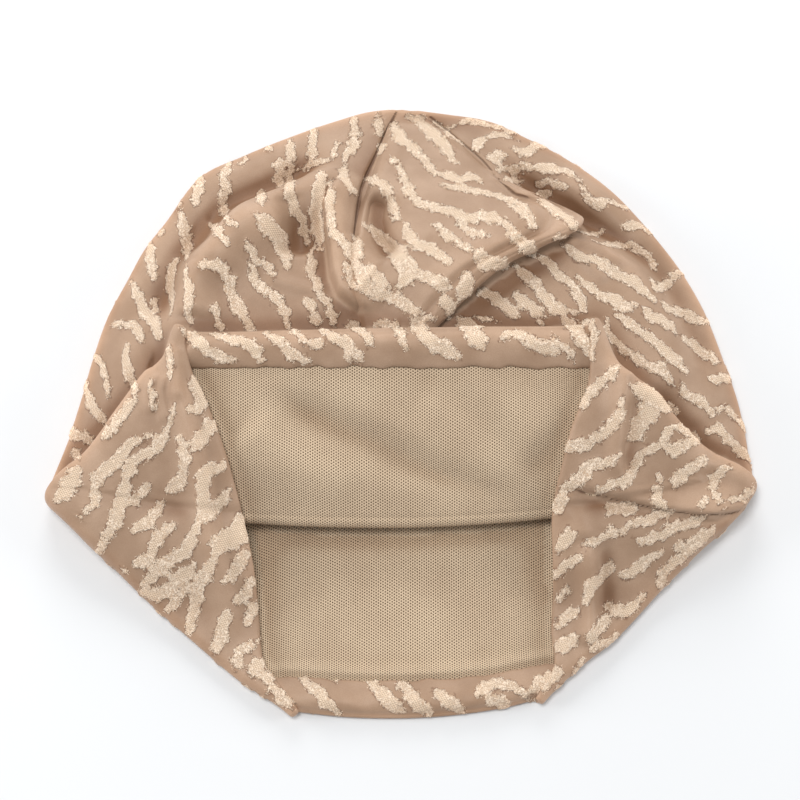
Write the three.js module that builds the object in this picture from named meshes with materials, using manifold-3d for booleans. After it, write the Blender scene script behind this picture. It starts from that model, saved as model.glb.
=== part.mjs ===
// Slouchy pleated cap lying on a table. The crown is at the back (+Y), the mouth faces the front (-Y).
// The upper half of the mouth is folded back over the crown, and both sides are folded in over it as
// two triangles, so the mouth stands open as a four-sided window on the lining.
// Millimetres, Z up, origin at the middle of the footprint on the table.
import * as THREE from 'three';
import { mergeVertices } from 'three/addons/utils/BufferGeometryUtils.js';
import Module from 'manifold-3d';

// Cloth
const CLOTH = 1.2; // patterned outer cloth
const GAP = 0.3; // air between two loose layers
const NET = 1.0; // net lining
const NET_TRIM = 18; // radius around each tip that the net stays out of
const HEM_WIDTH = 12; // outer cloth turned in along the rim
const HEM_INSIDE = 2.0; // inner face of the doubled hem, measured from the middle of the outer cloth
const FLOOR = CLOTH / 2; // middle of the outer cloth where it lies on the table

// Folds
const CREASE_RADIUS = 2.0; // bend where the mouth is folded back
const BAND_DEPTH = 70; // folded-back band, crease to rim
const LAYER_PITCH = 5.6; // a side triangle above the layer it lies on
const FLAP_LIFT = 1.4; // extra height of the folded-back rim over the crown
const RIM_CURL = 2.4; // upward curl of the rim
const FLAP_RISE = 0.72; // part of the band's depth in which the flap gets its extra height
const RIM_CURL_START = 0.8; // part of the band's depth at which the upward curl starts
const SIDE_SLOPE = 26; // distance in which the puffed crown rises from its edge
const FOLD_REACH = 3.0; // how far a rounded side fold stands out past the end of its layers
const NOSE_DEPTH = 0.17; // part of the band's depth in which a triangle closes into its tip
const BRIDGE = 34; // length over which a triangle comes down from the flap to the lower layer
const FOLD_SWELL = 0.3; // part of the band's depth in which a side fold gets its full reach
const CREASE_FADE = 0.83; // part of the band's depth in which the sag of the crease dies out
const CREASE_ENDS = 1.3; // how soon the bend at the crease gets its full radius beside a tip
const RIM_ROUND = 1.0; // how far the rounded rim stands past the end of the cloth
const FOLD_FADE = 14; // distance from the crown's edge in which its folds rise
const STEEPEST = 1.5; // most that a layer's upward step grows on a slope
const SLOPE_STEP = 1.5; // distance over which a slope is measured

// Corners of the opened mouth. A row is a corner of the window, seen from above.
const TIP = { left: [-135.1, -38.8], right: [135.1, -34.0] };
const CORNER = {
  upperLeft: { start: [-129.6, -36.3], rim: [-81.4, 19.5], bow: 0 },
  upperRight: { start: [129.6, -31.6], rim: [70.4, 23.0], bow: -5 },
  lowerRight: { start: [129.6, -37.6], rim: [53.2, -115.6], bow: 0 },
  lowerLeft: { start: [-129.6, -42.4], rim: [-41.2, -120.1], bow: 0 },
};
const CREASE_SAG = 15; // the crease hangs forward between the tips
const RIM_BOW = { top: 1, right: 7, bottom: -3, left: 3 }; // rim sides bent into the window

// Crown, a row per section from the crown point to the crease: ends of the section, how far its middle
// hangs forward, how high it is puffed up and how thick its rounded edge is.
const SECTIONS = [
  { at: 0.0, leftX: 2, leftY: 119.5, rightX: 6, rightY: 119.5, sag: 1, puff: 1, edge: 3.2 },
  { at: 0.06, leftX: -18, leftY: 118.6, rightX: 20, rightY: 118.0, sag: 9, puff: 5, edge: 3.4 },
  { at: 0.14, leftX: -40.4, leftY: 112.2, rightX: 41, rightY: 113.6, sag: 18, puff: 12, edge: 3.8 },
  { at: 0.26, leftX: -62, leftY: 101.7, rightX: 64, rightY: 101.5, sag: 25, puff: 19, edge: 4.2 },
  { at: 0.38, leftX: -79.5, leftY: 87.5, rightX: 84.4, rightY: 83.7, sag: 28, puff: 24, edge: 4.6 },
  { at: 0.5, leftX: -94.5, leftY: 64.5, rightX: 101.4, rightY: 60.7, sag: 27, puff: 26, edge: 4.8 },
  { at: 0.62, leftX: -107.5, leftY: 40.1, rightX: 113, rightY: 38, sag: 23, puff: 26, edge: 4.6 },
  { at: 0.75, leftX: -118, leftY: 13.5, rightX: 122.5, rightY: 10, sag: 19, puff: 22, edge: 4.0 },
  { at: 0.88, leftX: -127, leftY: -14, rightX: 130.5, rightY: -13, sag: 17, puff: 15, edge: 3.2 },
  { at: 1.0, leftX: -134.4, leftY: -34, rightX: 134.5, rightY: -29.2, sag: 17.4, puff: 7, edge: 2.6 },
];

// Folds of the crown, a row per ridge (height above 0) or valley (below 0), each along a straight line.
const CROWN_FOLDS = [
  { fromX: -27, fromY: 84, toX: -57, toY: 63, height: 4, width: 10 }, // left shoulder ridge
  { fromX: -57, fromY: 63, toX: -76, toY: 47, height: 4, width: 10 },
  { fromX: -76, fromY: 47, toX: -80, toY: 24, height: 3, width: 9 },
  { fromX: -45, fromY: 91, toX: -80, toY: 64, height: -3, width: 9 }, // hollow behind the ridge
  { fromX: -95, fromY: 32, toX: -93, toY: 14, height: -3, width: 9 }, // tuck at the left corner
  { fromX: -25, fromY: 76, toX: -25, toY: 34, height: 4, width: 8 }, // roll left of the pleat
  { fromX: 46, fromY: 92, toX: 68, toY: 74, height: -5, width: 8 }, // hollow right of the pleat
  { fromX: 68, fromY: 74, toX: 96, toY: 60, height: -4, width: 9 },
  { fromX: 62, fromY: 98, toX: 94, toY: 72, height: 2, width: 9 },
];

// Pleat panel, a row per section from the crown down: left end on one seam, right end on the other
// seam and then on the free edge, the curl of that edge, its height and the fullness of the middle.
const PLEAT_SECTIONS = [
  { at: 0.0, leftX: -5, leftY: 112, rightX: 17, rightY: 111, curl: 0, edge: 0, full: 0.4 },
  { at: 0.2, leftX: -10.5, leftY: 93, rightX: 30, rightY: 94, curl: 0, edge: 0, full: 3 },
  { at: 0.4, leftX: -15, leftY: 76, rightX: 48, rightY: 77.5, curl: 0.15, edge: 1.4, full: 5 },
  { at: 0.55, leftX: -17, leftY: 66, rightX: 65, rightY: 65, curl: 1, edge: 5, full: 6 },
  { at: 0.7, leftX: -18.5, leftY: 53, rightX: 54, rightY: 49, curl: 1, edge: 6, full: 7 },
  { at: 0.85, leftX: -18.5, leftY: 38, rightX: 37, rightY: 37, curl: 1, edge: 5, full: 6 },
  { at: 1.0, leftX: -14, leftY: 15, rightX: 19, rightY: 14, curl: 0.2, edge: 0.4, full: 0.6 },
];
const PLEAT_PITCH = 2.1; // middle of the pleat cloth above the middle of the crown cloth at a seam
const PLEAT_TOP_BOW = 3.5; // the panel's top edge bends back over the crown point
const PLEAT_SAG = 3; // and its other rows hang forward
const PLEAT_TOP = 0.2; // part of the panel's length in which the one becomes the other
const PLEAT_ROUNDING = 0.8; // below 1 the panel is fuller beside its seams
const PLEAT_LIFT = { start: 0.45, span: 0.4 }; // where across the panel its free edge rises
// Curl of the free edge: share of a half turn, radius, and how much of its height it comes down.
const PLEAT_CURL = { leastTurn: 0.4, mostTurn: 0.62, leastRadius: 1.8, mostRadius: 3.2, drop: 0.9 };

// Part of each crown section given to the columns that run round its edge, at the crown point
const EDGE_SHARE = 0.075;

// Mesh steps
const STEPS = { top: 20, side: 7, bottom: 10, corner: 2, crown: 15, crease: 3, cuff: 6 };
const PLEAT_STEPS = { across: 14, down: 13, curl: 3 };
const FIRST_ROW = 0.05; // crown row next to the crown point
const ROW_CROWDING = 1.1; // above 1 the rows lie closer at the crown point
const TIP_STATIONS = [0, 0.05, 0.11, 0.18]; // rows of the band where it closes into its tips
const HEM_STATION = 0.92; // row along the middle of the hem
const HEM_STEP = 0.02; // row just before the hem
const END_STEP = 0.02; // part of a section that gives its direction at an end
const HALVINGS = 26; // of the range in which a spot's crown section is sought
const POST = { height: 80, sides: 24 }; // cutter that trims the net at a tip
const WELD = 1e-4; // points closer than this are one

const SHOWS = {
  outer: { color: 0xb99a80, roughness: 0.62, metalness: 0 },
  pleat: { color: 0xbd9e84, roughness: 0.62, metalness: 0 },
  lining: { color: 0xb7a38b, roughness: 0.85, metalness: 0 },
};

const lerp = (a, b, k) => a + (b - a) * k;
const clamp = (x, lo, hi) => Math.min(hi, Math.max(lo, x));
const smooth = (x) => {
  const k = clamp(x, 0, 1);
  return k * k * (3 - 2 * k);
};
const arch = (k) => 4 * k * (1 - k);

// Value of one column of a section table at any station, on a smooth curve through the rows.
function track(table, column, at) {
  const last = table.length - 1;
  const x = clamp(at, table[0].at, table[last].at);
  let i = 0;
  while (i < last - 1 && x > table[i + 1].at) i += 1;
  const slope = (j) => {
    const a = Math.max(0, j - 1);
    const b = Math.min(last, j + 1);
    return (table[b][column] - table[a][column]) / (table[b].at - table[a].at);
  };
  const span = table[i + 1].at - table[i].at;
  const k = (x - table[i].at) / span;
  const rise = table[i + 1][column] - table[i][column];
  const first = slope(i) * span;
  const second = slope(i + 1) * span;
  const cubic = first + second - 2 * rise;
  const square = 3 * rise - 2 * first - second;
  return table[i][column] + k * (first + k * (square + k * cubic));
}

function crownSection(v) {
  const get = (column) => track(SECTIONS, column, v);
  const left = [get('leftX'), get('leftY')];
  const right = [get('rightX'), get('rightY')];
  const width = Math.hypot(right[0] - left[0], right[1] - left[1]);
  const sag = get('sag');
  const length = width * (1 + (8 / 3) * (sag / width) ** 2);
  return { left, right, width, sag, length, puff: get('puff'), edge: get('edge') };
}

function acrossSection(section, f) {
  return [
    lerp(section.left[0], section.right[0], f),
    lerp(section.left[1], section.right[1], f) - section.sag * arch(f),
  ];
}

function foldHeight(x, y) {
  let height = 0;
  for (const fold of CROWN_FOLDS) {
    const dx = fold.toX - fold.fromX;
    const dy = fold.toY - fold.fromY;
    const k = clamp(((x - fold.fromX) * dx + (y - fold.fromY) * dy) / (dx * dx + dy * dy), 0, 1);
    const away = Math.hypot(x - fold.fromX - k * dx, y - fold.fromY - k * dy);
    height += fold.height * Math.exp(-((away / fold.width) ** 2));
  }
  return height;
}

// Rise of the crown cloth from its rounded edge, with the place where the edge arc hands over.
function edgeArc(section) {
  const tilt = Math.atan(section.puff / SIDE_SLOPE);
  const reach = section.edge * (1 - Math.sin(tilt));
  return { tilt, reach, height: FLOOR + section.edge * (1 + Math.cos(tilt)) };
}

function crownHeight(section, f) {
  const arc = edgeArc(section);
  const inward = Math.max(0, section.length * clamp(f, 0, 1) * (1 - clamp(f, 0, 1)) - arc.reach);
  const [x, y] = acrossSection(section, f);
  const calm = 1 - Math.exp(-inward / FOLD_FADE);
  return arc.height + section.puff * (1 - Math.exp(-inward / SIDE_SLOPE)) + foldHeight(x, y) * calm;
}

// Height of the crown cloth over any spot of the plan; past the crease it stays as high as there.
function crownOver(x, y) {
  const along = (v) => {
    const section = crownSection(v);
    const f = (x - section.left[0]) / (section.right[0] - section.left[0]);
    return { section, f, y: acrossSection(section, f)[1] };
  };
  let low = 0;
  let high = 1;
  for (let i = 0; i < HALVINGS; i += 1) {
    const middle = (low + high) / 2;
    if (along(middle).y > y) low = middle;
    else high = middle;
  }
  const { section, f } = along((low + high) / 2);
  return crownHeight(section, f);
}

function steepness(height, x, y) {
  const h = SLOPE_STEP;
  const sx = (height(x + h, y) - height(x - h, y)) / (2 * h);
  const sy = (height(x, y + h) - height(x, y - h)) / (2 * h);
  return Math.min(STEEPEST, Math.hypot(1, sx, sy));
}

const creaseY = (x) => {
  const [left, right] = [CORNER.upperLeft.start, CORNER.upperRight.start];
  const f = clamp((x - left[0]) / (right[0] - left[0]), 0, 1);
  return lerp(left[1], right[1], f) - CREASE_SAG * arch(f);
};

// Folded-back layer: it keeps its distance from the crown below and curls up at the rim.
function flapHeight(x, y) {
  const back = clamp((y - creaseY(x)) / BAND_DEPTH, 0, 1);
  const curl = RIM_CURL * smooth((back - RIM_CURL_START) / (1 - RIM_CURL_START));
  const apart = 2 * CREASE_RADIUS + FLAP_LIFT * smooth(back / FLAP_RISE) + curl;
  return crownOver(x, y) + apart * steepness(crownOver, x, y);
}

// Layer under the side triangles: the flap behind the crease, the table-side layer in front of it.
function stackHeight(x, y) {
  const edge = creaseY(x) - CREASE_RADIUS - CLOTH;
  const down = smooth((edge - y) / BRIDGE);
  return lerp(flapHeight(x, Math.max(y, edge)), FLOOR, down);
}

function triangleHeight(x, y) {
  return stackHeight(x, y) + LAYER_PITCH * steepness(stackHeight, x, y);
}

function cornerAt(name, t) {
  const { start, rim, bow } = CORNER[name];
  const out = foldOut(name);
  const aside = bow * arch(t) - FOLD_REACH * smooth(t / FOLD_SWELL);
  return [lerp(start[0], rim[0], t) + aside * out[0], lerp(start[1], rim[1], t) + aside * out[1]];
}

// Outward direction of the rounded fold that runs from a tip to a corner of the rim.
function foldOut(name) {
  const { start, rim } = CORNER[name];
  const dx = rim[0] - start[0];
  const dy = rim[1] - start[1];
  const length = Math.hypot(dx, dy);
  const up = name.startsWith('upper') ? 1 : -1;
  const side = name.endsWith('Left') ? 1 : -1;
  return [(-dy * up * side) / length, (dx * up * side) / length];
}

const rimSide = (a, b, k, bow, direction) => [
  lerp(a[0], b[0], k) + direction[0] * bow * arch(k),
  lerp(a[1], b[1], k) + direction[1] * bow * arch(k),
];

// One loop of the crown: top columns, right edge, bottom columns, left edge.
function crownLoop(v) {
  const section = crownSection(v);
  const arc = edgeArc(section);
  const share = Math.max(arc.reach / section.length, EDGE_SHARE * (1 - v));
  const shareBelow = Math.max(section.edge / section.length, EDGE_SHARE * (1 - v));
  const sideSteps = STEPS.side + 2 * STEPS.corner;
  const ends = { left: acrossSection(section, 0), right: acrossSection(section, 1) };
  const near = { left: acrossSection(section, END_STEP), right: acrossSection(section, 1 - END_STEP) };

  const upper = (f) => [...acrossSection(section, f), crownHeight(section, f)];
  const lower = (f) => [...acrossSection(section, f), FLOOR];
  const around = (side, k) => {
    const f = (inward) => (side === 'left' ? inward / section.length : 1 - inward / section.length);
    const bend = section.edge * (Math.PI - arc.tilt);
    const first = share * section.length - arc.reach;
    const last = shareBelow * section.length - section.edge;
    const run = k * (first + bend + last);
    if (run < first) return upper(f(share * section.length - run));
    if (run > first + bend) return lower(f(section.edge + run - first - bend));
    const angle = Math.PI / 2 - arc.tilt - (run - first) / section.edge;
    const inward = section.edge * (1 - Math.cos(angle));
    const dx = near[side][0] - ends[side][0];
    const dy = near[side][1] - ends[side][1];
    const length = Math.hypot(dx, dy);
    return [
      ends[side][0] + (dx / length) * inward,
      ends[side][1] + (dy / length) * inward,
      FLOOR + section.edge * (1 + Math.sin(angle)),
    ];
  };

  const loop = [];
  for (let i = 0; i < STEPS.top; i += 1) loop.push(upper(lerp(share, 1 - share, i / (STEPS.top - 1))));
  for (let i = 1; i <= sideSteps; i += 1) loop.push(around('right', i / (sideSteps + 1)));
  for (let i = 0; i < STEPS.bottom; i += 1) {
    loop.push(lower(lerp(1 - shareBelow, shareBelow, i / (STEPS.bottom - 1))));
  }
  for (let i = sideSteps; i >= 1; i -= 1) loop.push(around('left', i / (sideSteps + 1)));
  return loop;
}

// One loop of the folded band, t = 0 at the crease and 1 at the rim.
function cuffLoop(t) {
  const spot = {};
  for (const name of Object.keys(CORNER)) spot[name] = cornerAt(name, t);
  const flat = (name) => {
    const [x, y] = spot[name];
    return name.startsWith('upper') ? flapHeight(x, y) : FLOOR;
  };
  const roll = (name, k, opening) => {
    const out = foldOut(name);
    const low = flat(name);
    const high = triangleHeight(...spot[name]);
    const angle = Math.PI * k;
    const reach = Math.min(FOLD_REACH, (high - low) / 2) * Math.sin(angle);
    const lift = (1 - Math.cos(angle)) / 2;
    return [
      spot[name][0] + out[0] * reach,
      spot[name][1] + out[1] * reach,
      lerp(low, high, opening ? lift : 1 - lift),
    ];
  };
  const sideGroup = (side, upperName, lowerName) => {
    const group = [];
    for (let i = 1; i <= STEPS.corner; i += 1) group.push(roll(upperName, i / (STEPS.corner + 1), true));
    for (let i = 0; i < STEPS.side; i += 1) {
      const into = side === 'left' ? [1, 0] : [-1, 0];
      const bow = RIM_BOW[side] * t * t;
      const [x, y] = rimSide(spot[upperName], spot[lowerName], i / (STEPS.side - 1), bow, into);
      group.push([x, y, triangleHeight(x, y)]);
    }
    for (let i = 1; i <= STEPS.corner; i += 1) group.push(roll(lowerName, i / (STEPS.corner + 1), false));
    // Towards its tip the triangle closes into a rounded nose between the flap and the lower layer.
    const [upper, lower] = [spot[upperName], spot[lowerName]];
    const nose = [0, 1].map((axis) => TIP[side][axis] - (upper[axis] + lower[axis]) / 2);
    const turn = (Math.PI / 2) * clamp(t / NOSE_DEPTH, 0, 1);
    return group.map((point, i) => {
      const angle = Math.PI * ((i + 1) / (group.length + 1));
      const k = (1 - Math.cos(angle)) / 2;
      const closed = [0, 1].map((axis) => lerp(upper[axis], lower[axis], k) + nose[axis] * Math.sin(angle));
      closed.push(lerp(flapHeight(...upper), FLOOR, k));
      const plan = 1 - Math.cos(turn);
      return [
        lerp(closed[0], point[0], plan),
        lerp(closed[1], point[1], plan),
        lerp(closed[2], point[2], Math.sin(turn)),
      ];
    });
  };

  const loop = [];
  for (let i = 0; i < STEPS.top; i += 1) {
    const k = i / (STEPS.top - 1);
    const bow = lerp(CREASE_SAG, RIM_BOW.top, smooth(t / CREASE_FADE));
    const [x, y] = rimSide(spot.upperLeft, spot.upperRight, k, bow, [0, -1]);
    loop.push([x, y, flapHeight(x, y)]);
  }
  loop.push(...sideGroup('right', 'upperRight', 'lowerRight'));
  for (let i = 0; i < STEPS.bottom; i += 1) {
    const k = i / (STEPS.bottom - 1);
    const bow = lerp(-CREASE_SAG, RIM_BOW.bottom, t);
    const [x, y] = rimSide(spot.lowerRight, spot.lowerLeft, k, bow, [0, 1]);
    loop.push([x, y, FLOOR]);
  }
  loop.push(...sideGroup('left', 'upperLeft', 'lowerLeft').reverse());
  return loop;
}

// Rows of the bend between crown and band.
function creaseLoops(before, after) {
  const loops = [];
  for (let row = 1; row <= STEPS.crease; row += 1) {
    const angle = (Math.PI * row) / (STEPS.crease + 1);
    const loop = before.map((point, i) => {
      const onTop = i < STEPS.top;
      const k = onTop ? (1 - Math.cos(angle)) / 2 : row / (STEPS.crease + 1);
      const mixed = point.map((value, axis) => lerp(value, after[i][axis], k));
      if (onTop) {
        const ends = Math.sqrt(arch(i / (STEPS.top - 1)));
        mixed[1] -= CREASE_RADIUS * Math.sin(angle) * Math.min(1, ends * CREASE_ENDS);
      }
      return mixed;
    });
    loops.push(loop);
  }
  return loops;
}

// Middle surface of the outer cloth as loops, with the depth in the folded band (or null) beside each.
function capLoops() {
  const loops = [];
  for (let i = 0; i < STEPS.crown; i += 1) {
    const v = lerp(FIRST_ROW, 1, (i / (STEPS.crown - 1)) ** ROW_CROWDING);
    loops.push({ points: crownLoop(v), depth: null });
  }
  const cuff = [];
  const hemStart = 1 - HEM_WIDTH / BAND_DEPTH;
  const stations = [...TIP_STATIONS];
  for (let i = 1; i < STEPS.cuff - 2; i += 1) {
    stations.push(lerp(TIP_STATIONS.at(-1), hemStart - HEM_STEP, i / (STEPS.cuff - 3)));
  }
  stations.push(hemStart, HEM_STATION, 1);
  for (const t of stations) cuff.push({ points: cuffLoop(t), depth: t });
  for (const points of creaseLoops(loops.at(-1).points, cuff[0].points)) loops.push({ points, depth: null });
  return { loops: [...loops, ...cuff], hemStart };
}

const CROWN_POINT = [4, 119.5, 3.8];
const TIP_AREA = 14; // around each tip
const TIP_PASSES = 3;

const nearTip = (point) =>
  Math.min(
    Math.hypot(point[0] - TIP.left[0], point[1] - TIP.left[1]),
    Math.hypot(point[0] - TIP.right[0], point[1] - TIP.right[1])
  );

function loopNormals(loops) {
  const columns = loops[0].points.length;
  const vector = (p) => new THREE.Vector3(...p);
  const firstBelow = STEPS.top + STEPS.side + 2 * STEPS.corner;
  const rests = (point, i) => i >= firstBelow && point[2] <= FLOOR + WELD;
  let normals = loops.map((loop, row) =>
    loop.points.map((point, i) => {
      const east = vector(loop.points[(i + 1) % columns]);
      const west = vector(loop.points[(i + columns - 1) % columns]);
      const north = row > 0 ? vector(loops[row - 1].points[i]) : vector(CROWN_POINT);
      const south = vector(loops[Math.min(row + 1, loops.length - 1)].points[i]);
      if (rests(point, i)) return new THREE.Vector3(0, 0, -1);
      return east.sub(west).cross(north.sub(south)).normalize();
    })
  );
  // The cloth bends tightly at both tips, so its normals are evened out there.
  for (let pass = 0; pass < TIP_PASSES; pass += 1) {
    normals = normals.map((line, row) =>
      line.map((normal, i) => {
        if (nearTip(loops[row].points[i]) > TIP_AREA || rests(loops[row].points[i], i)) return normal;
        const mean = normal.clone();
        mean.add(line[(i + 1) % columns]).add(line[(i + columns - 1) % columns]);
        if (row > 0) mean.add(normals[row - 1][i]);
        if (row + 1 < normals.length) mean.add(normals[row + 1][i]);
        return mean.normalize();
      })
    );
  }
  return normals;
}

class Shell {
  constructor() {
    this.positions = [];
    this.faces = [];
  }

  add(point) {
    this.positions.push(...point);
    return this.positions.length / 3 - 1;
  }

  addLoop(points) {
    return points.map((point) => this.add(point));
  }

  // Two triangles for each pair of neighbours in two closed loops. Each quad is cut along the diagonal
  // that is shorter on the middle surface, so that every face of the cap is cut in the same way.
  bridge(one, two, upper, lower, outward = true) {
    const distance = (p, q) => Math.hypot(p[0] - q[0], p[1] - q[1], p[2] - q[2]);
    one.forEach((a, i) => {
      const k = (i + 1) % one.length;
      const [b, c, d] = [one[k], two[i], two[k]];
      const rising = distance(upper[k], lower[i]) <= distance(upper[i], lower[k]);
      const cut = rising ? [[a, c, b], [b, c, d]] : [[a, c, d], [a, d, b]];
      for (const face of cut) this.faces.push(outward ? face : face.reverse());
    });
  }

  fan(loop, point, outward) {
    const middle = this.add(point);
    loop.forEach((a, i) => {
      const b = loop[(i + 1) % loop.length];
      this.faces.push(outward ? [middle, a, b] : [middle, b, a]);
    });
  }

  geometry() {
    const geometry = new THREE.BufferGeometry();
    geometry.setAttribute('position', new THREE.Float32BufferAttribute(this.positions, 3));
    geometry.setIndex(this.faces.flat());
    geometry.computeVertexNormals();
    return geometry;
  }
}

function offsetLoop(loop, normals, distance) {
  return loop.points.map((point, i) => [
    point[0] + normals[i].x * distance,
    point[1] + normals[i].y * distance,
    Math.max(0, point[2] + normals[i].z * distance),
  ]);
}

// Closed body between two faces of the cap. Each face is a list of rows: loop number and offset.
function capBody(loops, normals, outside, inside) {
  const shell = new Shell();
  const build = (rows) => rows.map(([row, distance, beyond = 0]) => {
    const points = offsetLoop(loops[row], normals[row], distance);
    if (beyond > 0) {
      points.forEach((point, i) => {
        const before = loops[row - 1].points[i];
        const step = new THREE.Vector3(...loops[row].points[i]).sub(new THREE.Vector3(...before));
        step.setLength(beyond);
        points[i] = [point[0] + step.x, point[1] + step.y, Math.max(0, point[2] + step.z)];
      });
    }
    return shell.addLoop(points);
  });
  const pole = (distance) => [CROWN_POINT[0], CROWN_POINT[1] + distance, CROWN_POINT[2]];
  const outer = build(outside);
  const inner = build(inside);
  shell.fan(outer[0], pole(outside[0][1]), true);
  const join = (loopsOfFace, rows, outward) => {
    for (let i = 0; i + 1 < rows.length; i += 1) {
      const [upper, lower] = [loops[rows[i][0]].points, loops[rows[i + 1][0]].points];
      shell.bridge(loopsOfFace[i], loopsOfFace[i + 1], upper, lower, outward);
    }
  };
  join(outer, outside, true);
  shell.fan(inner[0], pole(inside[0][1]), false);
  join(inner, inside, false);
  const end = loops[outside.at(-1)[0]].points;
  shell.bridge(outer.at(-1), inner.at(-1), end, end);
  return shell.geometry();
}

function pleatSurface(a, b) {
  const get = (column) => track(PLEAT_SECTIONS, column, b);
  const x = lerp(get('leftX'), get('rightX'), a);
  const bow = lerp(PLEAT_TOP_BOW, -PLEAT_SAG, smooth(b / PLEAT_TOP));
  const y = lerp(get('leftY'), get('rightY'), a) + bow * arch(a);
  const rise = get('edge') * smooth((a - PLEAT_LIFT.start) / PLEAT_LIFT.span);
  const hump = get('full') * arch(a) ** PLEAT_ROUNDING + rise;
  return [x, y, crownOver(x, y) + PLEAT_PITCH * steepness(crownOver, x, y) + hump];
}

// Pleat panel: a cloth sheet whose free right edge curls under.
function pleatBody() {
  const { across, down, curl } = PLEAT_STEPS;
  const { leastTurn, mostTurn, leastRadius, mostRadius } = PLEAT_CURL;
  const rows = [];
  for (let j = 0; j <= down; j += 1) {
    const b = j / down;
    const row = [];
    for (let i = 0; i <= across; i += 1) row.push(pleatSurface(i / across, b));
    const amount = clamp(track(PLEAT_SECTIONS, 'curl', b), 0, 1);
    const end = row.at(-1);
    const before = row.at(-2);
    const length = Math.hypot(end[0] - before[0], end[1] - before[1]);
    const out = [(end[0] - before[0]) / length, (end[1] - before[1]) / length];
    for (let i = 1; i <= curl; i += 1) {
      const angle = (i / curl) * Math.PI * lerp(leastTurn, mostTurn, amount);
      const radius = lerp(leastRadius, mostRadius, amount);
      const reach = radius * Math.sin(angle);
      const lowest = track(PLEAT_SECTIONS, 'edge', b) * PLEAT_CURL.drop;
      const drop = Math.min(radius * (1 - Math.cos(angle)), lowest);
      row.push([end[0] + out[0] * reach, end[1] + out[1] * reach, end[2] - Math.max(0, drop)]);
    }
    rows.push(row);
  }
  return sheetBody(rows, CLOTH);
}

function sheetBody(rows, thickness) {
  const shell = new Shell();
  const vector = (p) => new THREE.Vector3(...p);
  const face = (side) => rows.map((row, j) =>
    row.map((point, i) => {
      const east = vector(row[Math.min(i + 1, row.length - 1)]);
      const west = vector(row[Math.max(i - 1, 0)]);
      const north = vector(rows[Math.max(j - 1, 0)][i]);
      const south = vector(rows[Math.min(j + 1, rows.length - 1)][i]);
      const normal = east.sub(west).cross(north.sub(south)).normalize();
      return shell.add(vector(point).addScaledVector(normal, (side * thickness) / 2).toArray());
    })
  );
  const top = face(1);
  const bottom = face(-1);
  const quad = (a, b, c, d) => shell.faces.push([a, b, c], [a, c, d]);
  for (let j = 0; j + 1 < rows.length; j += 1) {
    for (let i = 0; i + 1 < rows[0].length; i += 1) {
      quad(top[j][i], top[j + 1][i], top[j + 1][i + 1], top[j][i + 1]);
      quad(bottom[j][i], bottom[j][i + 1], bottom[j + 1][i + 1], bottom[j + 1][i]);
    }
    quad(top[j][0], bottom[j][0], bottom[j + 1][0], top[j + 1][0]);
    quad(top[j].at(-1), top[j + 1].at(-1), bottom[j + 1].at(-1), bottom[j].at(-1));
  }
  for (let i = 0; i + 1 < rows[0].length; i += 1) {
    quad(top[0][i], top[0][i + 1], bottom[0][i + 1], bottom[0][i]);
    quad(top.at(-1)[i], bottom.at(-1)[i], bottom.at(-1)[i + 1], top.at(-1)[i + 1]);
  }
  return shell.geometry();
}

const wasm = await Module();
wasm.setup();

function solid(geometry) {
  const bare = new THREE.BufferGeometry();
  bare.setAttribute('position', geometry.getAttribute('position').clone());
  bare.setIndex(geometry.index.clone());
  const merged = mergeVertices(bare, WELD);
  return new wasm.Manifold(
    new wasm.Mesh({
      numProp: 3,
      vertProperties: new Float32Array(merged.getAttribute('position').array),
      triVerts: new Uint32Array(merged.index.array),
    })
  );
}

// The net is trimmed away around both tips, where the folded cloth leaves no room for it.
function trimAtTips(geometry) {
  let body = solid(geometry);
  for (const tip of [TIP.left, TIP.right]) {
    const post = new THREE.CylinderGeometry(NET_TRIM, NET_TRIM, POST.height, POST.sides);
    post.rotateX(Math.PI / 2);
    post.translate(tip[0], tip[1], 0);
    body = body.subtract(solid(post));
  }
  const mesh = body.getMesh();
  const trimmed = new THREE.BufferGeometry();
  trimmed.setAttribute('position', new THREE.Float32BufferAttribute(mesh.vertProperties, 3));
  trimmed.setIndex(Array.from(mesh.triVerts));
  trimmed.computeVertexNormals();
  return trimmed;
}

function piece(name, geometry, look) {
  const mesh = new THREE.Mesh(geometry, new THREE.MeshStandardMaterial(look));
  mesh.name = name;
  return mesh;
}

const { loops, hemStart } = capLoops();
const normals = loopNormals(loops);
const hemRow = loops.findIndex((loop) => loop.depth === hemStart);
const last = loops.length - 1;
const half = CLOTH / 2;

const outside = loops.map((_, row) => [row, half]);
outside.push([last, (half - HEM_INSIDE) / 2, RIM_ROUND]);
const inside = [];
for (let row = 0; row <= hemRow; row += 1) inside.push([row, -half]);
for (let row = hemRow; row <= last; row += 1) inside.push([row, -HEM_INSIDE]);

const netOutside = [];
const netInside = [];
for (let row = 0; row < hemRow; row += 1) {
  netOutside.push([row, -half - GAP]);
  netInside.push([row, -half - GAP - NET]);
}

const cap = new THREE.Group();
cap.name = 'pleated_cap';
cap.add(piece('outer_shell', capBody(loops, normals, outside, inside), SHOWS.outer));
cap.add(piece('lining', trimAtTips(capBody(loops, normals, netOutside, netInside)), SHOWS.lining));
cap.add(piece('crown_pleat', pleatBody(), SHOWS.pleat));

export default cap;
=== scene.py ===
# %% [markdown]
# # A pleated cap in striped cloth, lying open on a table
#
# The real cap is made of two layers: a rose-beige outer cloth with raised, looped cream stripes, and a
# net knit lining. It lies with its crown to the back. The upper half of its mouth is folded back, and
# both sides are folded in as triangles, so a four-sided window shows the lining.
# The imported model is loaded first. It fixes the place and the size of everything that is made below.

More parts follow.
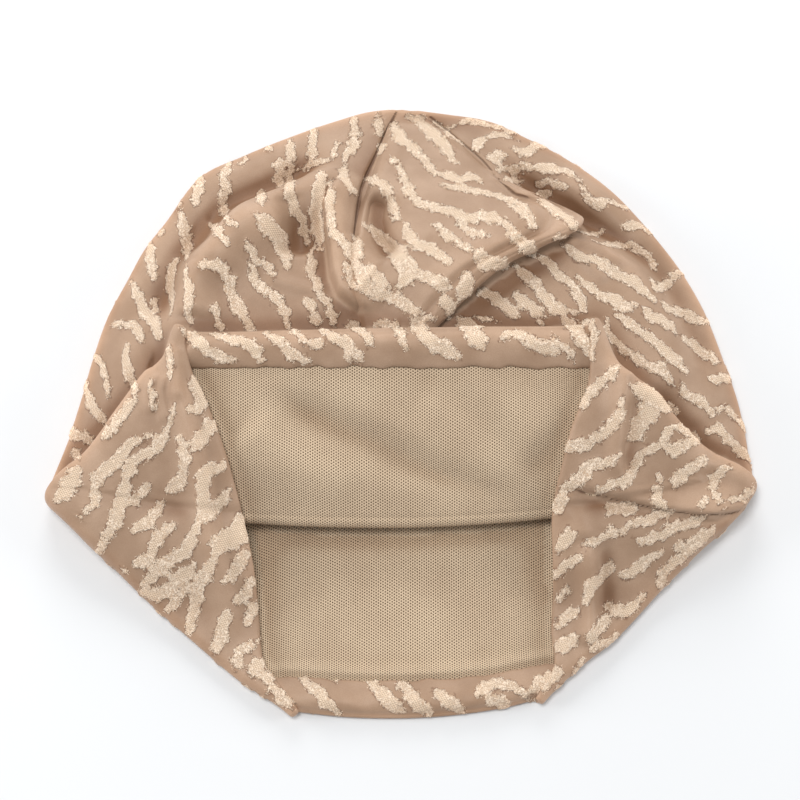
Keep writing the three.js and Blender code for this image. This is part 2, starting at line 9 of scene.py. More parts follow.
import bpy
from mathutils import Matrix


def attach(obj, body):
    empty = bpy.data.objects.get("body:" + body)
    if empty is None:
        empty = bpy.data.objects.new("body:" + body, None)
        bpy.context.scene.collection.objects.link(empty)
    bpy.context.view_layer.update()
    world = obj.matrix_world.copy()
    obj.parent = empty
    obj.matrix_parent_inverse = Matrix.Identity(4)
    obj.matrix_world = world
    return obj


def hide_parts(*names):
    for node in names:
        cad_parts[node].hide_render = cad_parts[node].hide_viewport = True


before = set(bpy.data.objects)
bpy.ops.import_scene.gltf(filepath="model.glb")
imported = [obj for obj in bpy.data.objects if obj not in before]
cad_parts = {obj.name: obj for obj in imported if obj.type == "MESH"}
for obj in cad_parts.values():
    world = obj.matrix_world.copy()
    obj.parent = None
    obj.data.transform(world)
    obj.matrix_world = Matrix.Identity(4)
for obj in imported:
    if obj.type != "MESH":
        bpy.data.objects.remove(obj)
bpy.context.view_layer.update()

# %% [markdown]
# Sizes are worked out in millimetres and turned into Blender's metres at the very end. A few small
# helpers do what every piece needs: a bmesh becomes a mesh, a mesh becomes an object, and the numbers
# that Blender keeps for each vertex are read and written as whole arrays, which is many times faster
# than a loop in Python.

# %% Tools
import math

import bmesh
import bpy
import numpy as np
from mathutils import Vector, noise
from mathutils.bvhtree import BVHTree
from mathutils.kdtree import KDTree

MM = 0.001
scene = bpy.context.scene


def into_scene(name, data):
    """A new object that shows the data, at the origin."""
    made = bpy.data.objects.new(name, data)
    scene.collection.objects.link(made)
    return made


def mesh_from(bm, name):
    """The bmesh as a mesh. The bmesh is freed."""
    mesh = bpy.data.meshes.new(name)
    bm.to_mesh(mesh)
    bm.free()
    return mesh


def read(items, name, size, kind=np.float32):
    """What Blender keeps under that name for each item, one row an item."""
    values = np.empty(len(items) * size, kind)
    items.foreach_get(name, values)
    return values.reshape(-1, size)


def store(mesh, name, values):
    """A number for each vertex, which a material can read by its name."""
    layer = mesh.attributes.new(name, "FLOAT", "POINT")
    layer.data.foreach_set("value", values.astype(np.float32))


def places_of(mesh):
    return read(mesh.vertices, "co", 3).astype(float) / MM


print("Blender", bpy.app.version_string)

# %% [markdown]
# The camera comes early, because the folds and the stripes are placed by what it sees. The photograph
# looks down at the cap steeply and with a long lens, so the view is a perspective one with little
# foreshortening. `sight` gives the line of sight through a picture point, and `spot` gives the place
# where that line meets a level plane.

# %% Camera
ELEVATION = math.radians(75)
AIM = np.array([-0.5, -2.0, 15.0])
DISTANCE = 717.0
LENS, SENSOR, PICTURE = 85.0, 36.0, 800
FORWARD = np.array([0.0, math.cos(ELEVATION), -math.sin(ELEVATION)])
SIDEWAYS = np.array([1.0, 0.0, 0.0])
UPWARD = np.array([0.0, math.sin(ELEVATION), math.cos(ELEVATION)])
EYE = AIM - FORWARD * DISTANCE
FOCAL = LENS / SENSOR * PICTURE

camera = into_scene("camera", bpy.data.cameras.new("camera"))
camera.data.lens = LENS
camera.data.sensor_width = SENSOR
camera.location = Vector(EYE * MM)
camera.rotation_euler = (math.pi / 2 - ELEVATION, 0, 0)
scene.camera = camera


def sight(x, y):
    """Directions of the lines of sight through picture points."""
    across = np.asarray(x, float) - PICTURE / 2
    down = np.asarray(y, float) - PICTURE / 2
    return FORWARD * FOCAL + across[..., None] * SIDEWAYS - down[..., None] * UPWARD


def spot(x, y, height):
    """Places on a level plane, seen at picture points."""
    line = sight(x, y)
    return EYE + line * ((height - EYE[2]) / line[..., 2])[..., None]


print("camera at", np.round(EYE), "middle of the picture on the table", np.round(spot(400, 400, 0), 1))

# %% [markdown]
# The light in the photograph is soft and comes mostly from above: the tops of the folds and the far
# edges are bright, and thin shadows lie below the near edges. One lamp hangs nearly overhead. A wide one
# behind lights the far rims, one at each side rounds the folds, and a pale sky fills the rest. The floor
# is a plain sheet.

# %% Light and floor
WARM, WARMER = (1.0, 0.98, 0.96), (1.0, 0.98, 0.955)
LAMPS = {
    "top_lamp": {"place": (-0.25, 0.1, 1.45), "size": 0.5, "power": 10.6, "colour": WARMER},
    "back_lamp": {"place": (-0.1, 1.3, 0.6), "size": 0.8, "power": 9.0, "colour": WARM},
    "left_lamp": {"place": (-1.3, 0.1, 0.5), "size": 0.7, "power": 7.0, "colour": WARM},
    "right_lamp": {"place": (1.3, 0.1, 0.5), "size": 0.7, "power": 6.5, "colour": WARM},
}
SKY_STRENGTH = 0.4
FLOOR_COLOUR = (0.79, 0.82, 0.855)
FLOOR_HALF = 4  # metres


def lamp(name, place, size, power, colour):
    """A round lamp that points at the cap."""
    made = into_scene(name, bpy.data.lights.new(name, "AREA"))
    made.data.shape = "DISK"
    made.data.size = size
    made.data.energy = power
    made.data.color = colour
    made.location = place
    made.rotation_euler = (Vector(AIM * MM) - Vector(place)).to_track_quat("-Z", "Y").to_euler()


for name, settings in LAMPS.items():
    lamp(name, **settings)
scene.view_settings.view_transform = "Standard"
scene.world = bpy.data.worlds.new("sky")
scene.world.use_nodes = True
backdrop = scene.world.node_tree.nodes["Background"]
backdrop.inputs["Color"].default_value = (*WARMER, 1)
backdrop.inputs["Strength"].default_value = SKY_STRENGTH

bm = bmesh.new()
bmesh.ops.create_grid(bm, x_segments=1, y_segments=1, size=FLOOR_HALF)
table_top = into_scene("table_top", mesh_from(bm, "table_top"))
print(len(LAMPS), "lamps and the floor made")

# %% [markdown]
# A finish is a small network of nodes. Writing each link by hand hides what the network does, so one
# class wraps a socket and lets Python's own signs add the nodes: `1 - mask` becomes a subtraction node.

# %% Sockets as numbers
class Wire:
    """A socket that Python's signs work on."""

    def __init__(self, nodes, socket):
        self.nodes, self.socket = nodes, socket

    def _math(self, operation, *values):
        return self.nodes.add("ShaderNodeMath", {"operation": operation}, *values)[0]

    def __add__(self, other):
        return self._math("ADD", self, other)

    def __sub__(self, other):
        return self._math("SUBTRACT", self, other)

    def __rsub__(self, other):
        return self._math("SUBTRACT", other, self)

    def __mul__(self, other):
        return self._math("MULTIPLY", self, other)

    __radd__, __rmul__ = __add__, __mul__

    def ramp(self, start, end):
        """0 at start, 1 at end, smooth between them."""
        node = {"interpolation_type": "SMOOTHSTEP"}
        return self.nodes.add("ShaderNodeMapRange", node, self, start, end, 0.0, 1.0)[0]

    def cosine(self):
        return self._math("COSINE", self)

    def size(self):
        return self._math("ABSOLUTE", self)


class Finish:
    """A material with its node tree, and one way to add any node to it."""

    def __init__(self, name):
        self.material = bpy.data.materials.new(name)
        self.material.use_nodes = True
        self.tree = self.material.node_tree
        self.shader = self.tree.nodes["Principled BSDF"]

    def add(self, kind, settings=None, *values, **named):
        node = self.tree.nodes.new(kind)
        for key, value in (settings or {}).items():
            setattr(node, key, value)
        for key, value in [*enumerate(values), *named.items()]:
            self.join(value, node.inputs[key])
        return [Wire(self, out) for out in node.outputs if out.enabled]

    def join(self, value, socket):
        """A wire is linked to the socket, a number or colour is set on it."""
        if isinstance(value, Wire):
            self.tree.links.new(value.socket, socket)
        elif isinstance(value, tuple):
            socket.default_value = (*value, 1)
        else:
            socket.default_value = value

    def mix(self, factor, first, second, blend="MIX"):
        """Mix of two colours."""
        node = self.tree.nodes.new("ShaderNodeMix")
        node.data_type, node.blend_type = "RGBA", blend
        for name, value in (("Factor", factor), ("A", first), ("B", second)):
            self.join(value, next(s for s in node.inputs if s.name == name and s.enabled))
        return Wire(self, next(s for s in node.outputs if s.enabled))

    def noise(self, scale, detail, where=None):
        where = where or self.place()
        return self.add("ShaderNodeTexNoise", {}, Vector=where, Scale=scale, Detail=detail)[0]

    def place(self):
        """Object coordinates, in metres."""
        return self.add("ShaderNodeTexCoord")[3]

    def value(self, name):
        """The number that each vertex stores under that name."""
        return self.add("ShaderNodeAttribute", {"attribute_name": name})[2]

    def bump(self, height, distance, strength):
        return self.add("ShaderNodeBump", {}, Strength=strength, Distance=distance, Height=height)[0]

    def set(self, **sockets):
        """Values or wires for the shader's own sockets."""
        for key, value in sockets.items():
            self.join(value, self.shader.inputs[key.replace("_", " ")])


pale_floor = Finish("pale_floor")
pale_floor.set(Base_Color=FLOOR_COLOUR, Roughness=0.75, Specular_IOR_Level=0.2)
table_top.data.materials.append(pale_floor.material)
print("finish", pale_floor.material.name)

# %% [markdown]
# The cap's shape is given by short tables, nearly the same as in the part's source. A section is a line
# across the crown, and each row says where its ends are, how far its middle hangs forward, how high it
# is puffed up and how thick its rounded edge is.

# %% Sizes and tables of the cap
CLOTH, NET = 1.2, 1.0  # thickness of the outer cloth and of the net
FLOOR = CLOTH / 2  # middle of the cloth that lies on the table
LOWEST = 0.05  # nothing reaches below this
BAND_DEPTH, HEM_WIDTH, HEM_INSIDE = 70.0, 12.0, 2.0
LAYER_PITCH = 5.6  # a side triangle above the layer that it lies on
FLAP_LIFT, FLAP_RISE = 1.4, 0.72  # the folded-back layer opens by this, over that part of its depth
RIM_CURL, RIM_CURL_START = 2.4, 0.8  # and its rim curls up
SIDE_SLOPE, FOLD_FADE = 26.0, 14.0  # how far inside its edge the crown is puffed, and folded
FOLD_REACH, FOLD_SWELL = 3.0, 0.3  # the side folds bulge outwards, past the first part of the band
NOSE_DEPTH = 0.17  # part of the band in which its tips close
BRIDGE = 34.0  # way in which the side triangles come down from the folded-back layer
CREASE_RADIUS, CREASE_SAG, CREASE_FADE, CREASE_ENDS = 2.0, 13.4, 0.83, 1.3
STEEPEST = 1.5  # most that a slope adds to the height between two layers
EDGE_SHARE = 0.075  # part of a section that runs round its edge, at the crown point
NEAR_END = 0.02  # part of a section that gives its direction at an end
RIM_BOW = {"top": 1.0, "bottom": -3.0}


def table(columns, rows):
    return {name: np.array([row[i] for row in rows], float) for i, name in enumerate(columns.split())}


RIM_LINE = {  # how far the rim lies to the right of a straight line between its two corners
    "left": table(
        "at aside",
        [
            (0, 0), (0.11, -2.3), (0.2, -1), (0.3, 0.2), (0.5, 0.2),
            (0.6, -0.5), (0.74, -3.3), (0.86, -6), (0.93, -3.4), (1, 0),
        ],
    ),
    "right": table(
        "at aside",
        [
            (0, 0), (0.17, 2.6), (0.29, -0.8), (0.4, -2.4), (0.5, -3.4),
            (0.6, -1.4), (0.7, 0.8), (0.81, 2.6), (0.92, 5.4), (1, 0),
        ],
    ),
}
TIP = {"left": (-135.1, -38.8), "right": (135.1, -34.0)}
CORNER = {  # the side folds, from the crease to the rim; dip is depth, place and width
    "upper_left": {"start": (-129.6, -36.3), "rim": (-82.4, 19.9), "bow": 0.0, "dip": (-3.0, 0.85, 0.09)},
    "upper_right": {"start": (129.6, -31.6), "rim": (72.2, 22.2), "bow": -5.0, "dip": (-4.0, 0.79, 0.12)},
    "lower_right": {"start": (129.6, -37.6), "rim": (53.2, -115.6), "bow": 0.0, "dip": (0.0, 0.5, 0.1)},
    "lower_left": {"start": (-129.6, -42.4), "rim": (-41.2, -120.1), "bow": 0.0, "dip": (0.0, 0.5, 0.1)},
}
CROWN_POINT = (4.0, 119.5, 3.8)
SECTIONS = table(
    "at left_x left_y right_x right_y sag puff edge",
    [
        (0.00, 2, 119.5, 6, 119.5, 1, 1, 3.2),
        (0.06, -18, 118.6, 20, 118, 9, 5, 3.4),
        (0.14, -40.4, 112.2, 41, 113.6, 18, 12, 3.8),
        (0.26, -62, 101.7, 64, 101.5, 25, 19, 4.2),
        (0.38, -79.5, 87.5, 84.4, 83.7, 28, 24, 4.6),
        (0.50, -94.5, 64.5, 101.4, 60.7, 27, 26, 4.8),
        (0.62, -107.5, 40.1, 113, 38, 23, 26, 4.6),
        (0.75, -118, 13.5, 122.5, 10, 19, 22, 4.0),
        (0.88, -127, -14, 130.5, -13, 17, 15, 3.2),
        (1.00, -134.4, -34, 134.5, -29.2, 15.8, 5, 2.6),
    ],
)
CROWN_FOLDS = [  # from, to, height, width
    ((-27, 84), (-57, 63), 4, 10),
    ((-57, 63), (-76, 47), 4, 10),
    ((-76, 47), (-80, 24), 3, 9),
    ((-45, 91), (-80, 64), -3, 9),
    ((-95, 32), (-93, 14), -3, 9),
    ((-25, 76), (-25, 34), 4, 8),
    ((46, 92), (68, 74), -5, 8),
    ((68, 74), (96, 60), -4, 9),
    ((62, 98), (94, 72), 2, 9),
]
print(len(SECTIONS["at"]), "sections and", len(CROWN_FOLDS), "main folds")

# %% [markdown]
# Between two rows of a table the cloth has to run on without a kink. `lerp` mixes two values, `smooth`
# goes softly from 0 to 1, `arch` is a hump that is 1 half way, and `track` reads a smooth curve through
# one column.

# %% Smooth curves
def lerp(a, b, k):
    return a + (b - a) * k


def smooth(x):
    k = np.clip(x, 0, 1)
    return k * k * (3 - 2 * k)


def arch(k):
    return 4 * k * (1 - k)


def track(rows, column, at):
    """One column of a table at any station, on a smooth curve through the rows."""
    stations, values = rows["at"], rows[column]
    x = np.clip(at, stations[0], stations[-1])
    i = np.clip(np.searchsorted(stations, x) - 1, 0, len(stations) - 2)
    slope = np.empty(len(values))
    slope[1:-1] = (values[2:] - values[:-2]) / (stations[2:] - stations[:-2])
    slope[0] = (values[1] - values[0]) / (stations[1] - stations[0])
    slope[-1] = (values[-1] - values[-2]) / (stations[-1] - stations[-2])
    span = stations[i + 1] - stations[i]
    k = (x - stations[i]) / span
    rise = values[i + 1] - values[i]
    first, second = slope[i] * span, slope[i + 1] * span
    return values[i] + k * (first + k * (3 * rise - 2 * first - second + k * (first + second - 2 * rise)))


half_way = {name: float(track(SECTIONS, name, 0.5)) for name in ("left_x", "right_x")}
print("crown is", round(half_way["right_x"] - half_way["left_x"]), "mm wide half way")

# %% [markdown]
# Cloth that lies loosely never folds evenly. Each fold is a line drawn on the photograph with a height,
# negative for a valley, and a width on its left and on its right, so one side can be sharp where the
# cloth doubles over. Some waves with seeded directions loosen what is left.

# %% Folds
FOLD_ENDS = 0.18  # part of a fold's length in which it fades out, at each end
WAVES = 14
FAR_AWAY = 1e9


def nearest_on(x, y, start, way):
    """How far along a straight stretch its nearest point lies, from 0 to 1, and how far away."""
    (ax, ay), (dx, dy) = start, way
    k = np.clip(((x - ax) * dx + (y - ay) * dy) / (dx * dx + dy * dy), 0, 1)
    return k, np.hypot(x - ax - k * dx, y - ay - k * dy)


def ridge(x, y, path, height, left, right):
    """Height of one fold at places in the plan; it fades out towards both of its ends."""
    path = np.asarray(path, float)
    steps = np.linalg.norm(np.diff(path, axis=0), axis=1)
    run = np.concatenate([[0], np.cumsum(steps)]) / steps.sum()
    near, value = np.full(np.shape(x), FAR_AWAY), np.zeros(np.shape(x))
    for i in range(len(path) - 1):
        way = path[i + 1] - path[i]
        k, away = nearest_on(x, y, path[i], way)
        on_left = way[0] * (y - path[i][1]) - way[1] * (x - path[i][0]) > 0
        along = lerp(run[i], run[i + 1], k)
        full = smooth(along / FOLD_ENDS) * smooth((1 - along) / FOLD_ENDS)
        shape = full * np.exp(-((away / np.where(on_left, left, right)) ** 2))
        value = np.where(away < near, shape, value)
        near = np.minimum(near, away)
    return height * value


def drawn(points, level):
    """A line read from the picture, as places in the plan at that height."""
    points = np.asarray(points, float)
    return spot(points[:, 0], points[:, 1], level)[:, :2]


def waves(x, y, seed, length, amount):
    """Loose, uneven waviness of cloth."""
    chance = np.random.default_rng(seed)
    total = np.zeros(np.shape(x))
    for _ in range(WAVES):
        turn, phase = chance.uniform(0, 2 * math.pi, 2)
        size = length * chance.uniform(0.6, 1.6)
        total += np.sin((x * math.cos(turn) + y * math.sin(turn)) * 2 * math.pi / size + phase)
    return amount * total / math.sqrt(WAVES)


print("a fold fades out over", FOLD_ENDS, "of its length at each end")

# %% [markdown]
# On the crown, a deep soft valley runs inside the rim on the left and on the right. High ridges frame the
# pouch beside the pleat, and the rest are creases and small tucks between them.

# %% Fold lines on the crown
CROWN_LEVEL = 26.0  # height at which the lines on the crown are read
CROWN_DETAIL = [  # line in the picture, height, width left, width right
    (
        [
            *[(348, 158), (337, 181), (328, 202), (330, 229), (334, 256)],
            *[(337, 280), (343, 298), (358, 311), (384, 318)],
        ],
        *(6.5, 12, 1.4),
    ),
    (
        [
            *[(343, 160), (332, 181), (323, 202), (324, 229), (328, 256)],
            *[(331, 281), (338, 302), (354, 317)],
        ],
        *(-3.6, 1.5, 6),
    ),
    ([(366, 176), (357, 200), (351, 226), (350, 250)], -2.0, 2.5, 3),
    (
        [
            *[(345, 163), (318, 164), (298, 172), (265, 193), (250, 211)],
            *[(223, 241), (200, 262), (190, 275)],
        ],
        *(8.5, 15, 3.2),
    ),
    ([(200, 262), (190, 285), (187, 322)], 4.5, 10, 3.5),
    (
        [
            *[(338, 145), (300, 152), (260, 173), (230, 195), (205, 221)],
            *[(185, 252), (171, 290), (166, 334)],
        ],
        *(-11, 6.5, 9),
    ),
    ([(284, 188), (294, 218), (302, 262)], -6.0, 6, 7),
    ([(199, 211), (216, 221), (234, 232)], 1.6, 1.3, 2.0),
    ([(206, 208), (222, 216), (236, 226)], -1.2, 1.6, 1.6),
    ([(267, 280), (297, 289), (327, 298)], 1.5, 1.6, 3.0),
    ([(150, 358), (166, 366)], -2.4, 3.5, 3.5),
    ([(436, 117), (460, 132), (489, 158), (504, 174), (522, 192), (552, 202)], 5.0, 4.5, 2.2),
    (
        [
            *[(496, 144), (530, 166), (562, 188), (592, 210), (622, 230)],
            *[(650, 254), (676, 292), (696, 338), (710, 388)],
        ],
        *(-11, 8, 6),
    ),
    ([(470, 126), (512, 140), (560, 160), (604, 190), (636, 216), (662, 246)], 3.0, 6, 5),
    ([(562, 236), (590, 244), (628, 264)], 2.0, 1.8, 3.0),
    ([(560, 244), (584, 262), (606, 284)], 1.8, 1.8, 3.0),
    ([(556, 250), (572, 276), (588, 306)], 1.0, 2.0, 3.5),
    ([(470, 303), (505, 290), (541, 262)], -1.0, 6, 4),
    ([(640, 386), (672, 410), (706, 442), (738, 470)], -4.5, 6, 5),
    ([(152, 366), (112, 410), (72, 456)], -3.5, 5, 6),
    ([(590, 240), (628, 262), (668, 300)], 1.6, 7, 7),
    ([(600, 262), (640, 300), (680, 352)], -1.2, 9, 9),
    ([(690, 330), (706, 380), (716, 430)], -1.5, 8, 8),
]
CROWN_LINES = [(drawn(points, CROWN_LEVEL), *shape) for points, *shape in CROWN_DETAIL]


def fold_height(x, y):
    total = np.zeros(np.shape(x))
    for start, end, height, width in CROWN_FOLDS:
        away = nearest_on(x, y, start, (end[0] - start[0], end[1] - start[1]))[1]
        total += height * np.exp(-((away / width) ** 2))
    for line in CROWN_LINES:
        total += ridge(x, y, *line)
    return total + waves(x, y, seed=5, length=46, amount=0.35)


print(len(CROWN_FOLDS), "main folds and", len(CROWN_LINES), "fine folds on the crown")

# %% [markdown]
# The crown is lofted: its sections are closed loops that go over the top, round the right edge, back
# under the cap and up round the left edge. The same formulas as in the source give each loop, so the
# cloth lies where the solid is.

# %% Crown loops
def section_at(v):
    get = {name: track(SECTIONS, name, v) for name in SECTIONS if name != "at"}
    width = np.hypot(get["right_x"] - get["left_x"], get["right_y"] - get["left_y"])
    get["length"] = width * (1 + 8 / 3 * (get["sag"] / width) ** 2)  # a flat arc's length
    get["tilt"] = np.arctan(get["puff"] / SIDE_SLOPE)
    get["reach"] = get["edge"] * (1 - np.sin(get["tilt"]))
    get["arc_top"] = FLOOR + get["edge"] * (1 + np.cos(get["tilt"]))
    return get


def across(section, f):
    x = lerp(section["left_x"], section["right_x"], f)
    return x, lerp(section["left_y"], section["right_y"], f) - section["sag"] * arch(f)


def crown_height(section, f):
    f = np.clip(f, 0, 1)
    inward = np.maximum(0, section["length"] * f * (1 - f) - section["reach"])
    x, y = across(section, f)
    puffed = section["puff"] * (1 - np.exp(-inward / SIDE_SLOPE))
    return section["arc_top"] + puffed + fold_height(x, y) * (1 - np.exp(-inward / FOLD_FADE))


def crown_loop(v, k_top, k_side, k_bottom):
    """Points of one closed loop. k_side runs down the right edge."""
    section = section_at(v)
    length, edge = float(section["length"]), float(section["edge"])
    reach, tilt = float(section["reach"]), float(section["tilt"])
    share = max(reach / length, EDGE_SHARE * (1 - v))
    below = max(edge / length, EDGE_SHARE * (1 - v))

    def upper(f):
        return np.stack([*across(section, f), crown_height(section, f)], axis=-1)

    def lower(f):
        return np.stack([*across(section, f), np.full(np.shape(f), FLOOR)], axis=-1)

    def around(end, k):
        """Off the top, round the edge and in below, at the right end (1) or the left one (0)."""
        first, last = share * length - reach, below * length - edge
        bend = edge * (math.pi - tilt)
        run = k * (first + bend + last)
        angle = math.pi / 2 - tilt - (run - first) / edge
        here = np.array(across(section, float(end)))
        near = np.array(across(section, abs(end - NEAR_END)))
        out = (near - here) / np.linalg.norm(near - here)
        inside = here[:, None] + (out * edge)[:, None] * (1 - np.cos(angle))
        arc = np.column_stack([*inside, FLOOR + edge * (1 + np.sin(angle))])
        over = upper(np.abs(end - (share * length - run) / length))
        under = lower(np.abs(end - (edge + run - first - bend) / length))
        after = np.where((run > first + bend)[:, None], under, arc)
        return np.where((run < first)[:, None], over, after)

    parts = [upper(lerp(share, 1 - share, k_top)), around(1, k_side)]
    parts += [lower(lerp(1 - below, below, k_bottom)), around(0, 1 - k_side)]
    return np.concatenate(parts)


test_loop = crown_loop(0.5, np.linspace(0, 1, 9), np.linspace(0.1, 0.9, 5), np.linspace(0, 1, 5))
print("half way the crown is", round(float(test_loop[:, 2].max()), 1), "mm high")

# %% [markdown]
# The folded-back layer rests on the crown, and the side triangles rest on that layer, so each height is
# found from the one below. The heights are worked out once on a map with a value every millimetre, and
# `Map.at` reads it smoothly in between.

# %% A map of heights
class Map:
    """Values on a grid in the plan, one every millimetre."""

    LOW = np.array([-150.0, -140.0])
    GRID = np.stack(np.meshgrid(np.arange(-150.0, 151.0), np.arange(-140.0, 136.0), indexing="ij"))

    def __init__(self, values):
        self.values = values

    def at(self, x, y):
        u = np.clip(np.asarray(x) - self.LOW[0], 1, self.values.shape[0] - 3)
        v = np.clip(np.asarray(y) - self.LOW[1], 1, self.values.shape[1] - 3)
        i, j = np.floor(u).astype(int), np.floor(v).astype(int)
        total = 0
        for a, wa in enumerate(self.weights(u - i)):
            for b, wb in enumerate(self.weights(v - j)):
                total = total + wa * wb * self.values[i + a - 1, j + b - 1]
        return total

    @staticmethod
    def weights(k):
        """Shares of four neighbours in a smooth curve through them."""
        k2, k3 = k * k, k * k * k
        return (-k + 2 * k2 - k3) / 2, (2 - 5 * k2 + 3 * k3) / 2, (k + 4 * k2 - 3 * k3) / 2, (k3 - k2) / 2

    def steepness(self):
        dx, dy = np.gradient(self.values)
        return np.minimum(STEEPEST, np.sqrt(1 + dx * dx + dy * dy))


print("a map has", Map.GRID[0].size, "values")

# %% [markdown]
# The sections of the crown are curved, so which of them passes through a place is found by halving: the
# section half way is tried, then the half that the place is in, and so on. The folded-back layer lies a
# little above the crown, more where the crown is steep, and opens towards its rim.

# %% Heights of the crown and the folded-back layer
HALVINGS = 22


def crown_map():
    x, y = Map.GRID
    low, high = np.zeros(x.shape), np.ones(x.shape)
    for _ in range(HALVINGS):
        middle = (low + high) / 2
        section = section_at(middle)
        f = (x - section["left_x"]) / (section["right_x"] - section["left_x"])
        deeper = across(section, f)[1] > y
        low, high = np.where(deeper, middle, low), np.where(deeper, high, middle)
    section = section_at((low + high) / 2)
    f = (x - section["left_x"]) / (section["right_x"] - section["left_x"])
    return Map(crown_height(section, f))


def crease_y(x):
    left, right = CORNER["upper_left"]["start"], CORNER["upper_right"]["start"]
    f = np.clip((x - left[0]) / (right[0] - left[0]), 0, 1)
    return lerp(left[1], right[1], f) - CREASE_SAG * arch(f)


LOOSE_RATE = 4  # the folded-back layer is fully loose after one fourth of its depth
FLAP_LINES = [  # the folded-back lining: soft valleys and swells
    (drawn([(262, 392), (310, 411), (378, 439), (444, 470), (490, 489), (540, 505)], 30), -5.2, 5, 9),
    (drawn([(420, 374), (455, 402), (505, 440), (560, 478)], 30), -2.2, 8, 6),
    (drawn([(240, 420), (300, 470), (350, 505)], 30), 3.4, 11, 11),
    (drawn([(420, 385), (500, 410), (550, 450)], 30), 2.2, 13, 13),
]


def flap_map(crown):
    x, y = Map.GRID
    back = np.clip((y - crease_y(x)) / BAND_DEPTH, 0, 1)
    curl = RIM_CURL * smooth((back - RIM_CURL_START) / (1 - RIM_CURL_START))
    apart = 2 * CREASE_RADIUS + FLAP_LIFT * smooth(back / FLAP_RISE) + curl
    loose = sum(ridge(x, y, *line) for line in FLAP_LINES)
    loose = loose + waves(x, y, seed=11, length=40, amount=0.22)
    return Map(crown.values + apart * crown.steepness() + loose * smooth(back * LOOSE_RATE))


crown = crown_map()
crown_steep = Map(crown.steepness())
flap = flap_map(crown)
print("highest: crown", round(float(crown.values.max()), 1), "flap", round(float(flap.values.max()), 1))

# %% [markdown]
# Each side triangle lies on the folded-back layer with its upper half and on the layer on the table with
# its lower half. In between it comes down as a bridge of cloth, with nothing close below it.

# %% Heights of the side folds
TRIANGLE_LINES = [  # the side folds: ridges along their rims, creases, and the seam at the right
    (drawn([(176, 372), (190, 430), (205, 486), (216, 540), (228, 590), (240, 640)], 16), 3.6, 2.6, 5.5),
    (drawn([(160, 372), (153, 384), (151, 412)], 34), 2.4, 1.4, 2.0),
    (drawn([(166, 372), (162, 392), (166, 424)], 34), 2.4, 1.4, 2.0),
    (drawn([(178, 345), (180, 372), (178, 402)], 36), 2.0, 2.4, 3.0),
    (drawn([(100, 560), (150, 520), (190, 470)], 10), -0.8, 9, 9),
    (drawn([(614, 352), (620, 385), (622, 430), (619, 478)], 34), 3.8, 1.6, 5.0),
    (drawn([(628, 392), (630, 440), (627, 474)], 32), -2.4, 4, 3),
    (drawn([(582, 541), (586, 590), (588, 648)], 8), 3.4, 2.4, 4.0),
    (drawn([(560, 500), (575, 520), (584, 541)], 16), 2.0, 3, 4),
    (drawn([(598, 540), (603, 575), (604, 615)], 8), -2.2, 3, 3),
    (drawn([(596, 540), (640, 560), (690, 548)], 8), -1.0, 8, 8),
    (drawn([(704, 470), (718, 492), (728, 512)], 14), -2.4, 3, 3),
    (drawn([(563, 488), (600, 494), (637, 503), (675, 510), (704, 513), (744, 508)], 16), 3.0, 7.0, 1.3),
    (drawn([(566, 494), (602, 501), (637, 510), (675, 517), (704, 520), (738, 516)], 14), -1.4, 1.4, 3.4),
]


def stack_map(flap):
    """What the side triangles lie on: the folded-back layer, then the layer on the table."""
    x, y = Map.GRID
    edge = crease_y(x) - CREASE_RADIUS - CLOTH
    down = smooth((edge - y) / BRIDGE)
    return Map(lerp(flap.at(x, np.maximum(y, edge)), FLOOR, down))


def triangle_map(stack):
    x, y = Map.GRID
    loose = sum(ridge(x, y, *line) for line in TRIANGLE_LINES)
    loose = loose + waves(x, y, seed=23, length=38, amount=0.3)
    return Map(stack.values + LAYER_PITCH * stack.steepness() + loose)


triangle = triangle_map(stack_map(flap))
print("highest: side folds", round(float(triangle.values.max()), 1), "mm")

# %% [markdown]
# The band is the lower 70 mm of the cap. Its loops go across the folded-back layer, round the fold into
# the right triangle, round the next fold into the layer on the table, and back on the left. The sides
# come first. `q` counts round one of them: 0 to 3 is the upper fold, 3 to 9 the triangle and 9 to 12 the
# lower fold. Near its tip a triangle closes into a rounded nose.

# %% Sides of the band
ROLL, SPAN = 3.0, 6.0
TURN_ROUND = 2 * ROLL + SPAN


def fold_out(name):
    """Direction in the plan that points out of the cap, square to a side fold."""
    start, rim = (np.array(CORNER[name][key]) for key in ("start", "rim"))
    dx, dy = (rim - start) / np.linalg.norm(rim - start)
    sign = (1 if name.startswith("upper") else -1) * (1 if name.endswith("left") else -1)
    return np.array([-dy * sign, dx * sign])


def corner_at(name, t):
    """Where a side fold is, from its start (t = 0) to the rim (t = 1)."""
    place = CORNER[name]
    depth, at, width = place["dip"]
    aside = place["bow"] * arch(t) - FOLD_REACH * float(smooth(t / FOLD_SWELL))
    aside += depth * math.exp(-(((t - at) / width) ** 2))
    return lerp(np.array(place["start"]), np.array(place["rim"]), t) + aside * fold_out(name)


